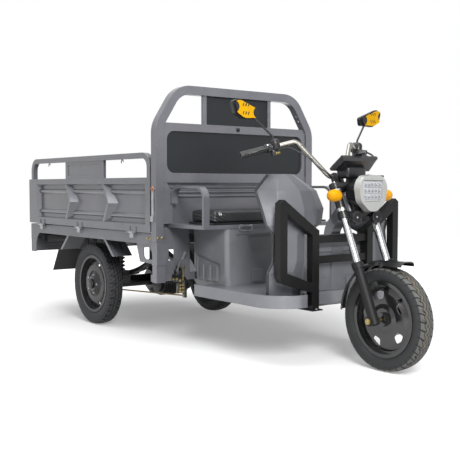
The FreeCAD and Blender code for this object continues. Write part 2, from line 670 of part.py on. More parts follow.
def tail_lamp():
    y0, y1 = -BED_HALF + 96, -BED_HALF + 250
    z0, z1 = SKIRT_Z + 55, SKIRT_Z + 110
    back = GATE_X + SILL_INSET
    housing = box(back + 3, back + 45, y0 + 8, y1 - 8, z0 + 6, z1 - 6)
    lens = box(back - 9, back, y0, y1, z0, z1)
    return fused([housing, lens.makeFillet(4, [e for e in lens.Edges if e.CenterOfMass.x < back - 8])])


# Headboard and seat
def headboard_frame():
    """Bent hoop with its cross rails and the backrest's own inner frame."""
    x = (HB_REAR + HB_FRONT) / 2
    y = BED_HALF - POST / 2
    z0 = BEARER_Z + 14
    top = HEADBOARD_TOP - POST / 2
    knee = HEADBOARD_TOP - 215
    path = [V(x, -y, z0), V(x, -y, knee), V(x, -y + 122, top)]
    path += [V(x, y - 122, top), V(x, y, knee), V(x, y, z0)]
    hoop = square_tube(path, 128, (1, 0, 0), POST, POST, WALL)
    inner = BED_HALF - POST + 1
    rails = [box(HB_REAR + 8, HB_FRONT - 8, -inner, inner, BACK_Z0 - 36, BACK_Z0)]
    rails.append(box(HB_REAR + 10, HB_FRONT - 10, -inner + 6, inner - 6, BACK_Z1, BACK_Z1 + 20))
    for side in (-1, 1):
        y0, y1 = sorted((side * 212, side * 232))
        rails.append(box(HB_REAR + 12, HB_FRONT - 12, y0, y1, BACK_Z1 + 10, top - POST / 2 + 1))
    loops = []
    for x0, half, low, high in ((HB_REAR + 12, inner - 4, BACK_Z0 - 2, BACK_Z1 + 2),
                                (HB_REAR + 11, inner - 28, BACK_Z0 + 14, BACK_Z1 - 22)):
        loops.append([V(x0, -half, low), V(x0, half, low), V(x0, half, high), V(x0, -half, high)])
    loop = plate(loops[0], 12, V(POST - 20, 0, 0)).cut(plate(loops[1], 46, V(POST, 0, 0)))
    whole = fused([hoop, loop] + rails)
    pins = []
    for side in (-1, 1):
        at = V(LATCH_PIVOT.x, side * BED_HALF, LATCH_PIVOT.z)
        pins.append(rod(at - V(0, side, 0), at + V(0, side * 10, 0), 5))
        pins.append(rod(at + V(0, side * (9.5), 0), at + V(0, side * 12, 0), 9))
    whole = fused([whole] + pins)
    holes = []
    for z in (HEADBOARD_TOP - 330, HEADBOARD_TOP - 280):
        for side in (-1, 1):
            holes.append(rod(V(HB_REAR - 5, side * y, z), V(HB_REAR + 5, side * y, z), 5))
    return whole.cut(Part.makeCompound(holes))


def headboard_panels():
    inner = BED_HALF - POST - 27.5
    low, high = BACK_Z0 + 14.5, BACK_Z1 - 22.5
    corners = [(-inner, low), (inner, low), (inner, high), (-inner, high)]
    back = plate([V(HB_REAR + 18, y, z) for y, z in corners], 45.6, V(9, 0, 0))
    upper = box(HB_REAR + 18, HB_REAR + 26, -211.5, 211.5, BACK_Z1 + 20.3, HEADBOARD_TOP - POST - 0.3)
    return [back, upper]


def front_sheet():
    """Beaded wall behind the seat with a wing plate at each side."""
    inner = BED_HALF - POST - 0.3
    z0, z1 = BED_Z + 1, BACK_Z0 - 36.3
    pieces = [box(HB_REAR, HB_REAR + SHEET, -inner, inner, z0, z1)]
    for z in (z1 - 22, z1 - 48, z1 - 70):
        pieces.append(rod(V(HB_REAR + SHEET, -inner + 60, z), V(HB_REAR + SHEET, inner - 60, z), 9))
    for side in (-1, 1):
        outline = [(side * inner, SEAT_Z), (side * inner, z1), (side * (inner - 22), z1)]
        outline += [(side * (inner - 54), z1 - 46), (side * (inner - 54), SEAT_Z)]
        pieces.append(slab_yz(outline, HB_FRONT - 6, HB_FRONT - 3))
        y0, y1 = sorted((side * (inner - 54), side * (inner - 57)))
        pieces.append(box(HB_REAR + 2, HB_FRONT - 3, y0, y1, SEAT_Z, z1 - 46))
    whole = fused(pieces)
    return whole.common(box(HB_REAR, HB_FRONT, -inner, inner, z0, z1))


def seat_shelf():
    z1 = SEAT_Z
    tray = box(HB_REAR + SHEET, SHELF_FRONT, -SEAT_HALF, SEAT_HALF, z1 - 20, z1)
    under = box(HB_REAR + SHEET + 4, SHELF_FRONT - 4, -SEAT_HALF + 4, SEAT_HALF - 4, z1 - 21, z1 - 4)
    hatch = box(SEAT_HINGE.x + 30, SHELF_FRONT - 30, -BOX_HALF + 20, BOX_HALF - 20, z1 - 10, z1 + 1)
    shelf = tray.cut(under).cut(hatch)
    pieces = [shelf]
    for side in (-1, 1):
        y = side * (SEAT_HALF - 18)
        x0, x1, top = HB_FRONT + 5, SHELF_FRONT - 7, SEAT_Z + 190
        path = [V(x1, y, z1 - 2), V(x1, y, top), V(x0, y, top), V(x0, y, SEAT_Z + 104)]
        pieces.append(square_tube(path, 58, (0, 1, 0), 36, 14))
    for y in (-200, 200):
        stand = box(SEAT_HINGE.x - 8, SEAT_HINGE.x + 8, y - 15, y + 15, z1 - 1, SEAT_HINGE.z)
        barrel = rod(V(SEAT_HINGE.x, y - 15, SEAT_HINGE.z), V(SEAT_HINGE.x, y + 15, SEAT_HINGE.z), 6)
        clip = box(SEAT_HINGE.x - 6, SEAT_HINGE.x + 6, y - 15, y + 15, z1 - 1, SEAT_HINGE.z)
        pieces += [stand.common(clip), barrel]
    whole = fused(pieces)
    pins = [SEAT_HINGE + V(0, y, 0) for y in (-200, 200)]
    bores = [rod(pin - V(0, 16, 0), pin + V(0, 16, 0), 3 + FIT) for pin in pins]
    return whole.cut(Part.makeCompound(bores))


def seat_base():
    x0, x1 = SEAT_HINGE.x + 8, SHELF_FRONT - 12
    half = SEAT_HALF - 66
    board = box(x0, x1, -half, half, SEAT_Z + 1.5, SEAT_Z + 11)
    pieces = [board]
    for y in (-200, 200):
        pieces.append(rod(V(SEAT_HINGE.x, y - 34, SEAT_HINGE.z), V(SEAT_HINGE.x, y + 34, SEAT_HINGE.z), 3))
        for a, b in ((-34, -15.5), (15.5, 34)):
            pieces.append(rod(V(SEAT_HINGE.x, y + a, SEAT_HINGE.z), V(SEAT_HINGE.x, y + b, SEAT_HINGE.z), 5))
            pieces.append(box(SEAT_HINGE.x, x0 + 2, y + a, y + b, SEAT_HINGE.z - 3, SEAT_HINGE.z + 3))
    return fused(pieces)


def seat_cushion():
    """Crowned pad whose sides swell out and draw in at the board."""
    x0, x1 = SEAT_HINGE.x + 10, SHELF_FRONT - 14
    half = SEAT_HALF - 68
    sections = []
    for rise, inset, corner in ((0, 6, 26), (18, 0, 30), (42, 2, 34), (56, 16, 34), (62, 40, 34)):
        z = SEAT_Z + 11.2 + rise
        corners = [V(x0 + inset, -half + inset, z), V(x1 - inset, -half + inset, z)]
        corners += [V(x1 - inset, half - inset, z), V(x0 + inset, half - inset, z)]
        sections.append(rounded(corners, corner, True))
    return Part.makeLoft(sections, True, False)


def seat_box():
    """Moulded case with a sloping foot, a sunk front field with a hand hollow, and ribbed sides."""
    x0, x1 = HB_REAR + 23, SHELF_FRONT - 4
    z0, z1 = FLOOR_Z, SEAT_Z - 20
    half = BOX_HALF

    def section(grow, z, wall):
        points = [V(x0 + grow, -half + grow, z), V(x1 - grow - wall, -half + grow, z)]
        points += [V(x1 - grow - wall, half - grow, z), V(x0 + grow, half - grow, z)]
        return rounded(points, 24, True)

    def field(x, inset):
        corners = [(-186 + inset, z0 + 12 + inset), (-186 + inset, 0.5 * (z0 + z1) + 14)]
        corners.append((-248 + inset, z1 - 26 - inset))
        corners += [(-y, z) for y, z in reversed(corners)]
        return polygon([V(x, y, z) for y, z in corners])

    shell = Part.makeLoft([section(14, z0, 0), section(0, z1, 0)], True, True)
    cutters = [Part.makeLoft([section(23, z0 + 5, 13), section(9, z1 + 1, 13)], True, True)]
    cutters.append(Part.makeLoft([field(x1 + 2, 0), field(x1 - 8, 9)], True, True))
    hollow = [V(x1 - 20, -140, z1 - 120), V(x1 - 20, 140, z1 - 120)]
    hollow += [V(x1 - 20, 176, z1 - 40), V(x1 - 20, -176, z1 - 40)]
    cutters.append(plate(hollow, 16, V(30, 0, 0)))
    pads = []
    for side in (-1, 1):
        y0, y1 = sorted((side * 137, side * 64))
        pads.append(box(x1 - 16, x1 - 6, y0, y1, z0 + 14, z0 + 79))
        y0, y1 = sorted((side * (half - 15), side * (half + 9)))
        bay = [(x0 + 40, z0 + 14), (x1 - 70, z0 + 14), (x1 - 70, z0 + 110), (x0 + 40, z0 + 150)]
        cutters.append(slab_xz(bay, y0, y1))
        y0, y1 = sorted((side * (half - 22), side * (half - 10)))
        for x in (x0 + 60, x0 + 120, x0 + 180):
            pads.append(box(x, x + 34, y0, y1, z0 + 16, z0 + 98))
    room = cutters[0]
    return fused([shell.cut(Part.makeCompound(cutters))] + [p.cut(room) for p in pads])


def battery_blocks():
    solids = []
    z = FLOOR_Z + 5
    wide, count = 104, 5
    for i in range(count):
        y = (i - (count - 1) / 2) * (wide + 6)
        block = box(HB_FRONT + 20, HB_FRONT + 240, y - wide / 2, y + wide / 2, z, z + 190)
        posts = [rod(V(HB_FRONT + x, y, z + 190), V(HB_FRONT + x, y, z + 204), 8) for x in (60, 200)]
        solids.append(fused([block] + posts))
    return solids


# Floor, leg shield and bumper
def pan_outline(inset):
    """Plan of the floor pan with its corner radii: broad arcs outside, a bay for the wheel between them."""
    back, nose, tip = HB_FRONT + 150 - 3 * inset, SHIELD_X + 8 - inset, SHIELD_X + 58 - inset
    half = PAN_HALF - inset
    points = [V(back, -half, 0), V(tip, -half, 0)]
    points += [V(tip, -232 - 0.6 * inset, 0), V(nose, -204 - 0.6 * inset, 0)]
    points += [V(p.x, -p.y, 0) for p in reversed(points)]
    radii = [18, 164 - inset, 14, 14]
    return points, radii + radii[::-1]


def floor_pan():
    skirt = FLOOR_Z - 49
    rim = FLOOR_Z + PAN_LIP
    outer = Part.Face(rounded(*pan_outline(0), True)).extrude(V(0, 0, rim - skirt))
    outer.translate(V(0, 0, skirt))
    inner = Part.Face(rounded(*pan_outline(12), True))
    above = inner.extrude(V(0, 0, rim - FLOOR_Z + 10)).translated(V(0, 0, FLOOR_Z))
    below = inner.extrude(V(0, 0, FLOOR_Z - 1 - skirt)).translated(V(0, 0, skirt - 5))
    hub = PEDAL_PIVOT
    slot = box(hub.x - 60, hub.x + 26, hub.y - 14, hub.y + 14, skirt, FLOOR_Z + 1)
    spine = box(SHIELD_X - 54, SHIELD_X - 2, -31, 31, skirt, FLOOR_Z + 20)
    return outer.cut(Part.makeCompound([above, below])).cut(slot).cut(spine)


def shield_lobe():
    """Right lobe of the leg shield, drawn through levels from foot to top."""
    levels = []
    table = [(FLOOR_Z, -56, -374, -16, 168), (FLOOR_Z + 113, -22, -402, 6, 168)]
    table += [(FLOOR_Z + 160, -22, -373, 12, 168), (FLOOR_Z + 282, -26, -363, 10, 168)]
    table += [(FLOOR_Z + 328, -42, -394, 2, 66), (FLOOR_Z + 400, -82, -388, 0, 50)]
    table += [(FLOOR_Z + 486, -122, -392, -6, 92), (FLOOR_Z + 562, -52, -378, -30, 220)]
    for z, back, edge, front, middle in table:
        outer = [(SHIELD_X + back, edge), (SHIELD_X + (back + 2 * front) / 3 - 2, edge + 60)]
        outer.append((SHIELD_X + front, (edge - 1.2 * middle) / 2.2))
        outer.append((SHIELD_X + front - 6, (edge - 4 * middle) / 5))
        outer += [(SHIELD_X + front - 34, -middle)]
        points = [V(x, y, z) for x, y in outer]
        inner = []
        for i, p in enumerate(points):
            a = points[max(i - 1, 0)]
            b = points[min(i + 1, len(points) - 1)]
            away = (b - a).cross(V(0, 0, 1)).normalize()
            inner.append(p - away * SHEET)
        levels.append(polygon(points + inner[::-1]))
    return Part.makeLoft(levels, True, True)


def lower_front_panel():
    """Pressed sheet between the lobes with a raised middle band and two raised fields at its foot."""
    x0, x1 = SHIELD_X + 1, SHIELD_X + 5
    z0, z1 = FLOOR_Z + PAN_LIP, FLOOR_Z + 280
    face = [(-158, z0), (158, z0), (158, z1 - 30), (120, z1), (-120, z1), (-158, z1 - 30)]
    pieces = [slab_yz(face, x0, x1)]
    pieces.append(slab_yz([(-40, z0), (40, z0), (32, z1 - 60), (-32, z1 - 60)], x1 - 1, x1 + 6))
    pieces.append(box(x1 - 1, x1 + 4, -150, 150, z1 - 84, z1 - 60))
    for side in (-1, 1):
        y0, y1 = sorted((side * 62, side * 146))
        corners = [V(x1 - 1, y0, z0 + 4), V(x1 - 1, y1, z0 + 4)]
        corners += [V(x1 - 1, y1, z0 + 66), V(x1 - 1, y0, z0 + 66)]
        pieces.append(plate(corners, 9, V(5, 0, 0)))
    return fused(pieces)


def bumper():
    """Two tubular guards joined by flat slats, swept back towards the outside."""
    g = GUARD
    inner_y, outer_y = 159.0, PAN_HALF - 27
    x0, x1 = SHIELD_X + 14, SHIELD_X + 14 + g
    top_out, top_in = FLOOR_Z + 446, FLOOR_Z + 314
    low_out, low_in, foot = FLOOR_Z + 80, FLOOR_Z + 17, FLOOR_Z - 62
    outline = [(-outer_y, top_out - 16), (-outer_y + 22, top_out)]
    outline += [(-inner_y - g, top_in + 14), (-inner_y, top_in - 12)]
    outline += [(-inner_y, foot), (-inner_y - g, foot), (-inner_y - g, low_in)]
    outline += [(-outer_y + 10, low_out - 8), (-outer_y, low_out + 10)]
    hole = [(-outer_y + g, top_out - 64), (-inner_y - g, top_in - 34)]
    hole += [(-inner_y - g, low_in + 44), (-outer_y + g, low_out + 34)]
    guard = slab_yz(outline, x0, x1).cut(slab_yz(hole, x0 - 1, x1 + 1))
    guard.rotate(V(x1, -inner_y, 0), V(0, 0, 1), -2)
    flange = box(x0 - 52, x1 + 12, -inner_y - g - 12, -inner_y + 12, foot - 6, foot)
    levels = (FLOOR_Z + 243, FLOOR_Z + 149)
    slats = [box(x1 - 14, x1 - 8, -inner_y - 4, inner_y + 4, z, z + 35) for z in levels]
    return fused(pair(guard) + pair(flange) + slats)


# Front fork and steering
def yoke_plate(z0, z1):
    reach = math.atan2(FORK_HALF, FORK_OFFSET)
    r = 26.0
    legs = [V(FORK_OFFSET, side * FORK_HALF, z0) for side in (-1, 1)]
    across = V(math.sin(reach), math.cos(reach), 0)
    outline = [V(0, 0, z0) + V(-across.x, across.y, 0) * r, legs[1] + V(-across.x, across.y, 0) * r]
    outline += [legs[1] + V(r, 0, 0), legs[0] + V(r, 0, 0), legs[0] + V(-across.x, -across.y, 0) * r]
    outline += [V(0, 0, z0) + V(-across.x, -across.y, 0) * r]
    height = V(0, 0, z1 - z0)
    body = Part.Face(polygon(outline)).extrude(height)
    rounds = [Part.makeCylinder(r, z1 - z0, p) for p in legs + [V(0, 0, z0)]]
    return fused([body] + rounds)


def fork_shroud(side):
    at = V(FORK_OFFSET, side * FORK_HALF, 0)
    return rod(at + V(0, 0, -133), at + V(0, 0, -11), FORK_TUBE_R + 5)


def steering_yokes():
    pieces = [yoke_plate(-12, 12), yoke_plate(-160, -132.3)]
    pieces += [fork_shroud(-1), fork_shroud(1), rod(V(0, 0, -150), V(0, 0, 20), 14)]
    bar = BAR_1 - HEAD
    bar_x, bar_z = bar.x * COS + bar.z * SIN, -bar.x * SIN + bar.z * COS
    for y in (-17, 17):
        pieces.append(box(bar_x - 13, bar_x + 13, y - 11, y + 11, 10, bar_z + 17))
    whole = fused(pieces)
    cutters = [rod(V(bar_x, -60, bar_z), V(bar_x, 60, bar_z), BAR_R + FIT)]
    for side in (-1, 1):
        at = V(FORK_OFFSET, side * FORK_HALF, 0)
        cutters.append(rod(at + V(0, 0, -200), at + V(0, 0, 40), FORK_TUBE_R + FIT))
    return in_fork(whole.cut(Part.makeCompound(cutters)))


def fork_tubes():
    solids = []
    for side in (-1, 1):
        at = V(FORK_OFFSET, side * FORK_HALF, 0)
        solids.append(in_fork(ring(at + V(0, 0, -565), at + V(0, 0, 16), FORK_TUBE_R, FORK_TUBE_R - 4)))
    return solids


def fork_sliders():
    solids = []
    for side in (-1, 1):
        at = V(FORK_OFFSET, side * FORK_HALF, 0)
        leg = rod(at + V(0, 0, -AXLE_DROP - 20), at + V(0, 0, -375), 23)
        collar = rod(at + V(0, 0, -400), at + V(0, 0, -372), 27)
        inside = V(AXLE_LX, side * (FORK_HALF - 22), -AXLE_DROP)
        lug = rod(inside, inside + V(0, side * 44, 0), 22)
        bore = rod(at + V(0, 0, -AXLE_DROP + 8), at + V(0, 0, -360), FORK_TUBE_R + FIT)
        pin = rod(V(AXLE_LX, -200, -AXLE_DROP), V(AXLE_LX, 200, -AXLE_DROP), 8 + FIT)
        solids.append(in_fork(fused([leg, collar, lug]).cut(bore.fuse(pin))))
    return solids


def front_axle():
    centre = V(WHEELBASE, 0, FRONT_R)
    reach = FORK_HALF + 34
    shaft = rod(centre - V(0, reach, 0), centre + V(0, reach, 0), 8)
    nuts = []
    for side in (-1, 1):
        a, b = centre + V(0, side * (FORK_HALF + 23.3), 0), centre + V(0, side * (FORK_HALF + 31), 0)
        nuts.append(rod(a, b, 14))
        a, b = centre + V(0, side * (FORK_HALF - 23.3), 0), centre + V(0, side * 56.6, 0)
        nuts.append(rod(a, b, 12))
    return fused([shaft] + nuts)


def front_mudguard():
    """Blade that runs straight ahead over the tyre and arches down behind it."""
    r = FRONT_R + 26
    profile = [(-46, r - 18), (-40, r - 3), (-22, r + 6), (22, r + 6), (40, r - 3), (46, r - 18)]
    profile += [(43, r - 18), (37.6, r - 5.4), (21.4, r + 3)]
    profile += [(-21.4, r + 3), (-37.6, r - 5.4), (-43, r - 18)]
    face = Part.Face(polygon([V(0, y, z) for y, z in profile]))
    plan = [V(-1, -60, r - 30), V(118, -60, r - 30), V(118, 60, r - 30), V(-1, 60, r - 30)]
    nose = face.extrude(V(118, 0, 0)).common(plate(plan, 34, V(0, 0, 60)))
    blade = fused([face.revolve(V(0, 0, 0), V(0, 1, 0), -86), nose])
    pieces = [blade.translated(V(WHEELBASE, 0, FRONT_R))]
    for side in (-1, 1):
        y0, y1 = sorted((side * 40, side * (FORK_HALF - 24.6)))
        at = V(FORK_OFFSET, 0, -AXLE_DROP + r - 8)
        pieces.append(in_fork(box(at.x - 16, at.x + 16, y0, y1, at.z - 3, at.z + 3)))
    whole = fused(pieces)
    sliders = fork_sliders()
    return whole.cut(sliders[0]).cut(sliders[1])


def handlebar():
    points = [BAR_3, BAR_2, BAR_1]
    points += [V(p.x, -p.y, p.z) for p in reversed(points)]
    return round_bar(points, 34, BAR_R, BAR_R - 2.2)


def on_bar(start, end, radius):
    return ring(BAR_2 + ALONG * start, BAR_2 + ALONG * end, radius, BAR_R + FIT)


def grip():
    sleeve = on_bar(POD_END + 2, GRIP_END + 4, 17)
    flange = on_bar(POD_END + 2, POD_END + 8, 22)
    return fused([sleeve, flange])


def switch_pod():
    """Right pod with the lever's perch and pin, and the boss that the mirror turns in."""
    body = rod(BAR_2 + ALONG * POD_START, BAR_2 + ALONG * POD_END, 20)
    a, b = PIVOT - UPWARD * 13, PIVOT - UPWARD * 6.3
    root = PIVOT - AHEAD * 30
    arm = fused([rod(a, b, 10), rod(root - UPWARD * 11, PIVOT - UPWARD * 11 + AHEAD * 2, 4.5)])
    pin = rod(PIVOT - UPWARD * 8, PIVOT + UPWARD * 7, 4)
    boss = rod(MIRROR_FOOT - V(0, 0, 16), MIRROR_FOOT + V(0, 0, 12), 9)
    whole = fused([body, arm, pin, boss])
    bore = rod(BAR_2 + ALONG * (POD_START - 20), BAR_2 + ALONG * (POD_END + 20), BAR_R + FIT)
    socket = rod(MIRROR_FOOT, MIRROR_FOOT + V(0, 0, 20), 5 + FIT)
    return whole.cut(bore.fuse(socket))


def brake_lever():
    hub = rod(PIVOT - UPWARD * 6, PIVOT + UPWARD * 6, 9)
    points = [PIVOT + ALONG * 2, PIVOT + ALONG * 60 + AHEAD * 16, PIVOT + ALONG * 116 + AHEAD * 14]
    blade = round_bar(points, 60, 5)
    knob = Part.makeSphere(7.5, points[2])
    hole = rod(PIVOT - UPWARD * 12, PIVOT + UPWARD * 12, 4 + FIT)
    return fused([hub, blade, knob]).cut(hole)


def mirror():
    """Right mirror: stem that turns in the pod's boss, shell and glass."""
    foot = MIRROR_FOOT
    head = HEAD + V(-232, -414, 371)
    stem = round_bar([foot + V(0, 0, 0.5), foot + V(0, 0, 32), head + V(8, 36, -24)], 14, 5)
    outline = [(-80, 36), (-43, 47), (80, 0), (74, -40), (-14, -44), (-62, -20)]
    shell = plate([V(-10, y, z) for y, z in outline], 14, V(20, 0, 0))
    crown = plate([V(9, 0.84 * y, 0.8 * z) for y, z in outline], 10, V(12, 0, 0))
    glass = plate([V(-14, 0.9 * y, 0.86 * z) for y, z in outline], 11, V(5, 0, 0))
    return fused([stem, fused([shell, crown, glass]).translated(head)])


def horn_button_seat():
    at = BAR_2 + ALONG * 108
    return V(at.x, -at.y, at.z), V(-AHEAD.x, AHEAD.y, -AHEAD.z)


def horn_button():
    at, out = horn_button_seat()
    return rod(at + out * 16.5, at + out * 23, 6)


def headlight_section(x, half, low, high):
    """Shield outline: arched top, widest a third below it, drawn in to a short blunt foot."""
    z = HEAD.z - 12
    tall = low + high
    side = [V(x, 0.26 * half, z - low), V(x, 0.86 * half, z - low + 0.27 * tall),
            V(x, half, z + high - 0.30 * tall), V(x, 0.70 * half, z + high - 0.04 * tall)]
    bends = [0.40 * half, 0.50 * half, 0.55 * half, 0.50 * half]
    points = side + [V(x, 0, z + high)] + [V(x, -p.y, p.z) for p in reversed(side)]
    return rounded(points, bends + [2 * half] + bends[::-1], True)


def headlight_window(x, half):
    """Outline of the lamp's recessed window, a little narrower at its foot."""
    z0, z1 = HEAD.z - 12 - 0.60 * half, HEAD.z - 12 + 0.86 * half
    corners = [V(x, -0.92 * half, z0), V(x, 0.92 * half, z0), V(x, half, z1), V(x, -half, z1)]
    return rounded(corners, 14, True)


def headlight_housing():
    x0, x1 = HEAD.x + 78, HEAD.x + 158
    back = headlight_section(x0, 62, 58, 56)
    front = headlight_section(x1, 88, 80, 79)
    body = Part.makeLoft([back, front], True, True)
    foot = in_fork(box(52, 70, -20, 20, -132.1, -84))
    return fused([body, foot])


def headlight_lens():
    x0, x1 = HEAD.x + 158.2, HEAD.x + 192
    rear = headlight_section(x0, 95, 87, 85)
    front = headlight_section(x1, 92, 84, 82)
    shell = Part.makeLoft([rear, front], True, True)
    room = headlight_window(x1 - 9, 64)
    mouth = headlight_window(x1 + 1, 68)
    return shell.cut(Part.makeLoft([room, mouth], True, True))


def horns():
    solids = []
    for side in (-1, 1):
        at = V(HEAD.x + 152, side * 64, HEAD.z - 123)
        dish = rod(at - V(22, 0, 0), at, 26)
        rim = ring(at - V(8, 0, 0), at + V(3, 0, 0), 29.5, 25)
        tail = in_fork(box(FORK_OFFSET + 26.2, 92, side * 64 - 7, side * 64 + 7, -152, -144))
        solids.append(fused([dish, rim, tail]))
    return solids


def turn_signals():
    solids = []
    for side in (-1, 1):
        at = HEAD + V(110, side * 173, -24)
        inner, foot, belly = at - V(0, side * 32, 0), at + V(0, -side * 32, 23), at + V(0, -side * 8, 28)
        shoulder, cheek, tip = at + V(0, side * 14, 25), at + V(0, side * 27, 16), at + V(0, side * 32, 6)
        nose = at + V(0, side * 32, 0)
        profile = [Part.LineSegment(inner, foot).toShape(), Part.Arc(foot, belly, shoulder).toShape(),
                   Part.Arc(shoulder, cheek, tip).toShape(), Part.LineSegment(tip, nose).toShape(),
                   Part.LineSegment(nose, inner).toShape()]
        lens = Part.Face(Part.Wire(profile)).revolve(at, V(0, 1, 0), 360)
        stalk = rod(HEAD + V(62, side * FORK_HALF, -24), at - V(6, 0, 0), 7)
        leg = V(FORK_OFFSET, side * FORK_HALF, 0)
        shroud = in_fork(rod(leg - V(0, 0, 140), leg + V(0, 0, 10), FORK_TUBE_R + 5))
        solids.append(fused([lens, stalk]).cut(shroud))
    return solids


def dash_console():
    low, high = HEAD + V(48, 0, 83), HEAD + V(115, 0, 143)
    rise = V(-0.67, 0, 0.742)
    sections = []
    for depth, grow in ((0, -14), (8, 0), (21, 0), (28, -10)):
        a = low + rise * depth - V(0.742, 0, 0.67) * grow
        b = high + rise * depth + V(0.742, 0, 0.67) * grow
        half_a, half_b = 126 + grow, 115 + grow
        corners = [a - V(0, half_a, 0), b - V(0, half_b, 0), b + V(0, half_b, 0), a + V(0, half_a, 0)]
        sections.append(polygon(corners))
    body = Part.makeLoft(sections, True, True)
    neck = slab_xz([(45, 12.1), (70, 12.1), (112, 80), (87, 74)], -26, 26)
    return fused([body, in_fork(neck)])


def control_cables():
    start = BAR_2 + ALONG * (POD_START - 0.2) - UPWARD * 15.5
    points = [start, start - ALONG * 52, HEAD + V(-70, -128, 128)]
    for rise in (52, 12.2):
        points.append(HEAD + V(12 * COS - rise * SIN, -60, 12 * SIN + rise * COS))
    return pair(round_bar(points, 22, 3))


# Brakes
def brake_bracket():
    """Plate that carries the parking-brake lever, with the zinc rod that it pulls."""
    at = BRAKE_PIVOT
    outline = [(at.x - 52, FLOOR_Z + 8), (at.x + 34, FLOOR_Z + 8)]
    outline += [(at.x + 30, at.z + 24), (at.x - 14, at.z + 34)]
    side = slab_xz(outline, at.y + 6, at.y + 11)
    pin = rod(at + V(0, 8, 0), at - V(0, 10, 0), 6)
    head = rod(at - V(0, 9.6, 0), at - V(0, 12, 0), 10)
    tie = box(HB_REAR + 18, at.x - 30, at.y + 6, at.y + 11, FLOOR_Z + 12, FLOOR_Z + 44)
    rod_y = -TRACK / 2 + 68
    pull = rod(V(at.x - 32, rod_y, FLOOR_Z - 70), V(72, rod_y, REAR_R - 32), 4)
    drop = box(at.x - 44, at.x - 20, rod_y - 6, rod_y + 6, FLOOR_Z - 80, FLOOR_Z + 20)
    arm = box(at.x - 44, at.x - 20, at.y + 10, rod_y, FLOOR_Z + 12, FLOOR_Z + 30)
    return fused([side, pin, head, tie, drop, arm, pull])


def parking_lever():
    at = BRAKE_PIVOT
    eye = rod(at + V(0, 5.5, 0), at - V(0, 9, 0), 15)
    reach = at + V(72, -2, 96)
    arm = round_bar([at - V(0, 2, 0), at + V(34, -2, 60), reach], 40, 6)
    knob = rod(reach - V(14, 0, 19), reach + V(14, 0, 19), 11)
    return fused([eye, arm, knob]).cut(rod(at + V(0, 20, 0), at - V(0, 30, 0), 6 + FIT))


def pedal():
    at = PEDAL_PIVOT
    hub = ring(at - V(0, 9, 0), at + V(0, 9, 0), 12, 7 + FIT)
    arm = round_bar([at + V(-6, 0, 10), at + V(-20, 0, 70), at + V(-44, 0, 128)], 40, 6)
    pad = box(-6, 6, -34, 34, -26, 26)
    pad.rotate(V(0, 0, 0), V(0, 1, 0), -35)
    return fused([hub, arm, pad.translated(at + V(-48, 0, 132))])


def pedal_shaft():
    at = PEDAL_PIVOT
    shaft = rod(V(at.x, -RAIL_HALF + 20.2, at.z), V(at.x, at.y + 40, at.z), 7)
    collar = rod(V(at.x, at.y + 9.5, at.z), V(at.x, at.y + 14, at.z), 12)
    return fused([shaft, collar])


def nodes():
    right_rear = V(0, -TRACK / 2, REAR_R)
    rear_tyre = tyre(REAR_R, REAR_W, 34, 12, 9, 9).translated(right_rear)
    rear_rim = rear_wheel_rim().translated(right_rear)
    front_centre = V(WHEELBASE, 0, FRONT_R)
    pod = switch_pod()
    seat_at, out = horn_button_seat()
    left_pod = mirrored(pod).cut(rod(seat_at + out * 12, seat_at + out * 30, 6 + GAP))
    hangers = spring_hanger()
    right_panel = side_panel()
    return {
        "chassis_frame": [chassis_frame()],
        "bed_floor": [bed_floor()],
        "bed_sills": [bed_sills()],
        "hinge_barrels": hinge_barrels(),
        "right_side_panel": [right_panel],
        "left_side_panel": [mirrored(right_panel)],
        "tailgate": [tailgate()],
        "headboard_frame": [headboard_frame()],
        "headboard_panels": headboard_panels(),
        "front_sheet": [front_sheet()],
        "right_latch": [latch_lever()],
        "left_latch": [mirrored(latch_lever())],
        "seat_shelf": [seat_shelf()],
        "seat_base": [seat_base()],
        "seat_cushion": [seat_cushion()],
        "seat_box": [seat_box()],
        "battery_pack": battery_blocks(),
        "floor_pan": [floor_pan()],
        "leg_shield": pair(shield_lobe()),
        "lower_front_panel": [lower_front_panel()],
        "bumper": [bumper()],
        "rear_mudguards": pair(rear_mudguard(1, FRONT_GUARD_X)) + pair(rear_mudguard(-1, REAR_GUARD_X)),
        "mud_flaps": pair(mud_flap()),
        "tail_lamps": pair(tail_lamp()),
        "leaf_springs": pair(leaf_spring()),
        "spring_hangers": hangers + [mirrored(s) for s in hangers],
        "damper_uppers": pair(damper_upper()),
        "coil_springs": pair(coil_spring()),
        "axle_housing": [axle_housing()],
        "drive_motor": [drive_motor()],
        "damper_lowers": pair(damper_lower()),
        "right_rear_tyre": [rear_tyre],
        "right_rear_rim": [rear_rim],
        "left_rear_tyre": [mirrored(rear_tyre)],
        "left_rear_rim": [mirrored(rear_rim)],
        "steering_yokes": [steering_yokes()],
        "fork_tubes": fork_tubes(),
        "fork_sliders": fork_sliders(),
        "front_axle": [front_axle()],
        "front_mudguard": [front_mudguard()],
        "front_tyre": [tyre(FRONT_R, FRONT_W, 34, 38, 6, 6).translated(front_centre)],
        "front_rim": [front_wheel_rim().translated(front_centre)],
        "handlebar": [handlebar()],
        "throttle_grip": [grip()],
        "left_grip": [mirrored(grip())],
        "switch_pods": [pod, left_pod],
        "horn_button": [horn_button()],
        "right_brake_lever": [brake_lever()],
        "left_brake_lever": [mirrored(brake_lever())],
        "right_mirror": [mirror()],
        "left_mirror": [mirrored(mirror())],
        "headlight_housing": [headlight_housing()],
        "headlight_lens": [headlight_lens()],
        "horns": horns(),
        "turn_signals": turn_signals(),
        "dash_console": [dash_console()],
        "control_cables": control_cables(),
        "brake_bracket": [brake_bracket(), pedal_shaft()],
        "parking_lever": [parking_lever()],
        "brake_pedal": [pedal()],
    }


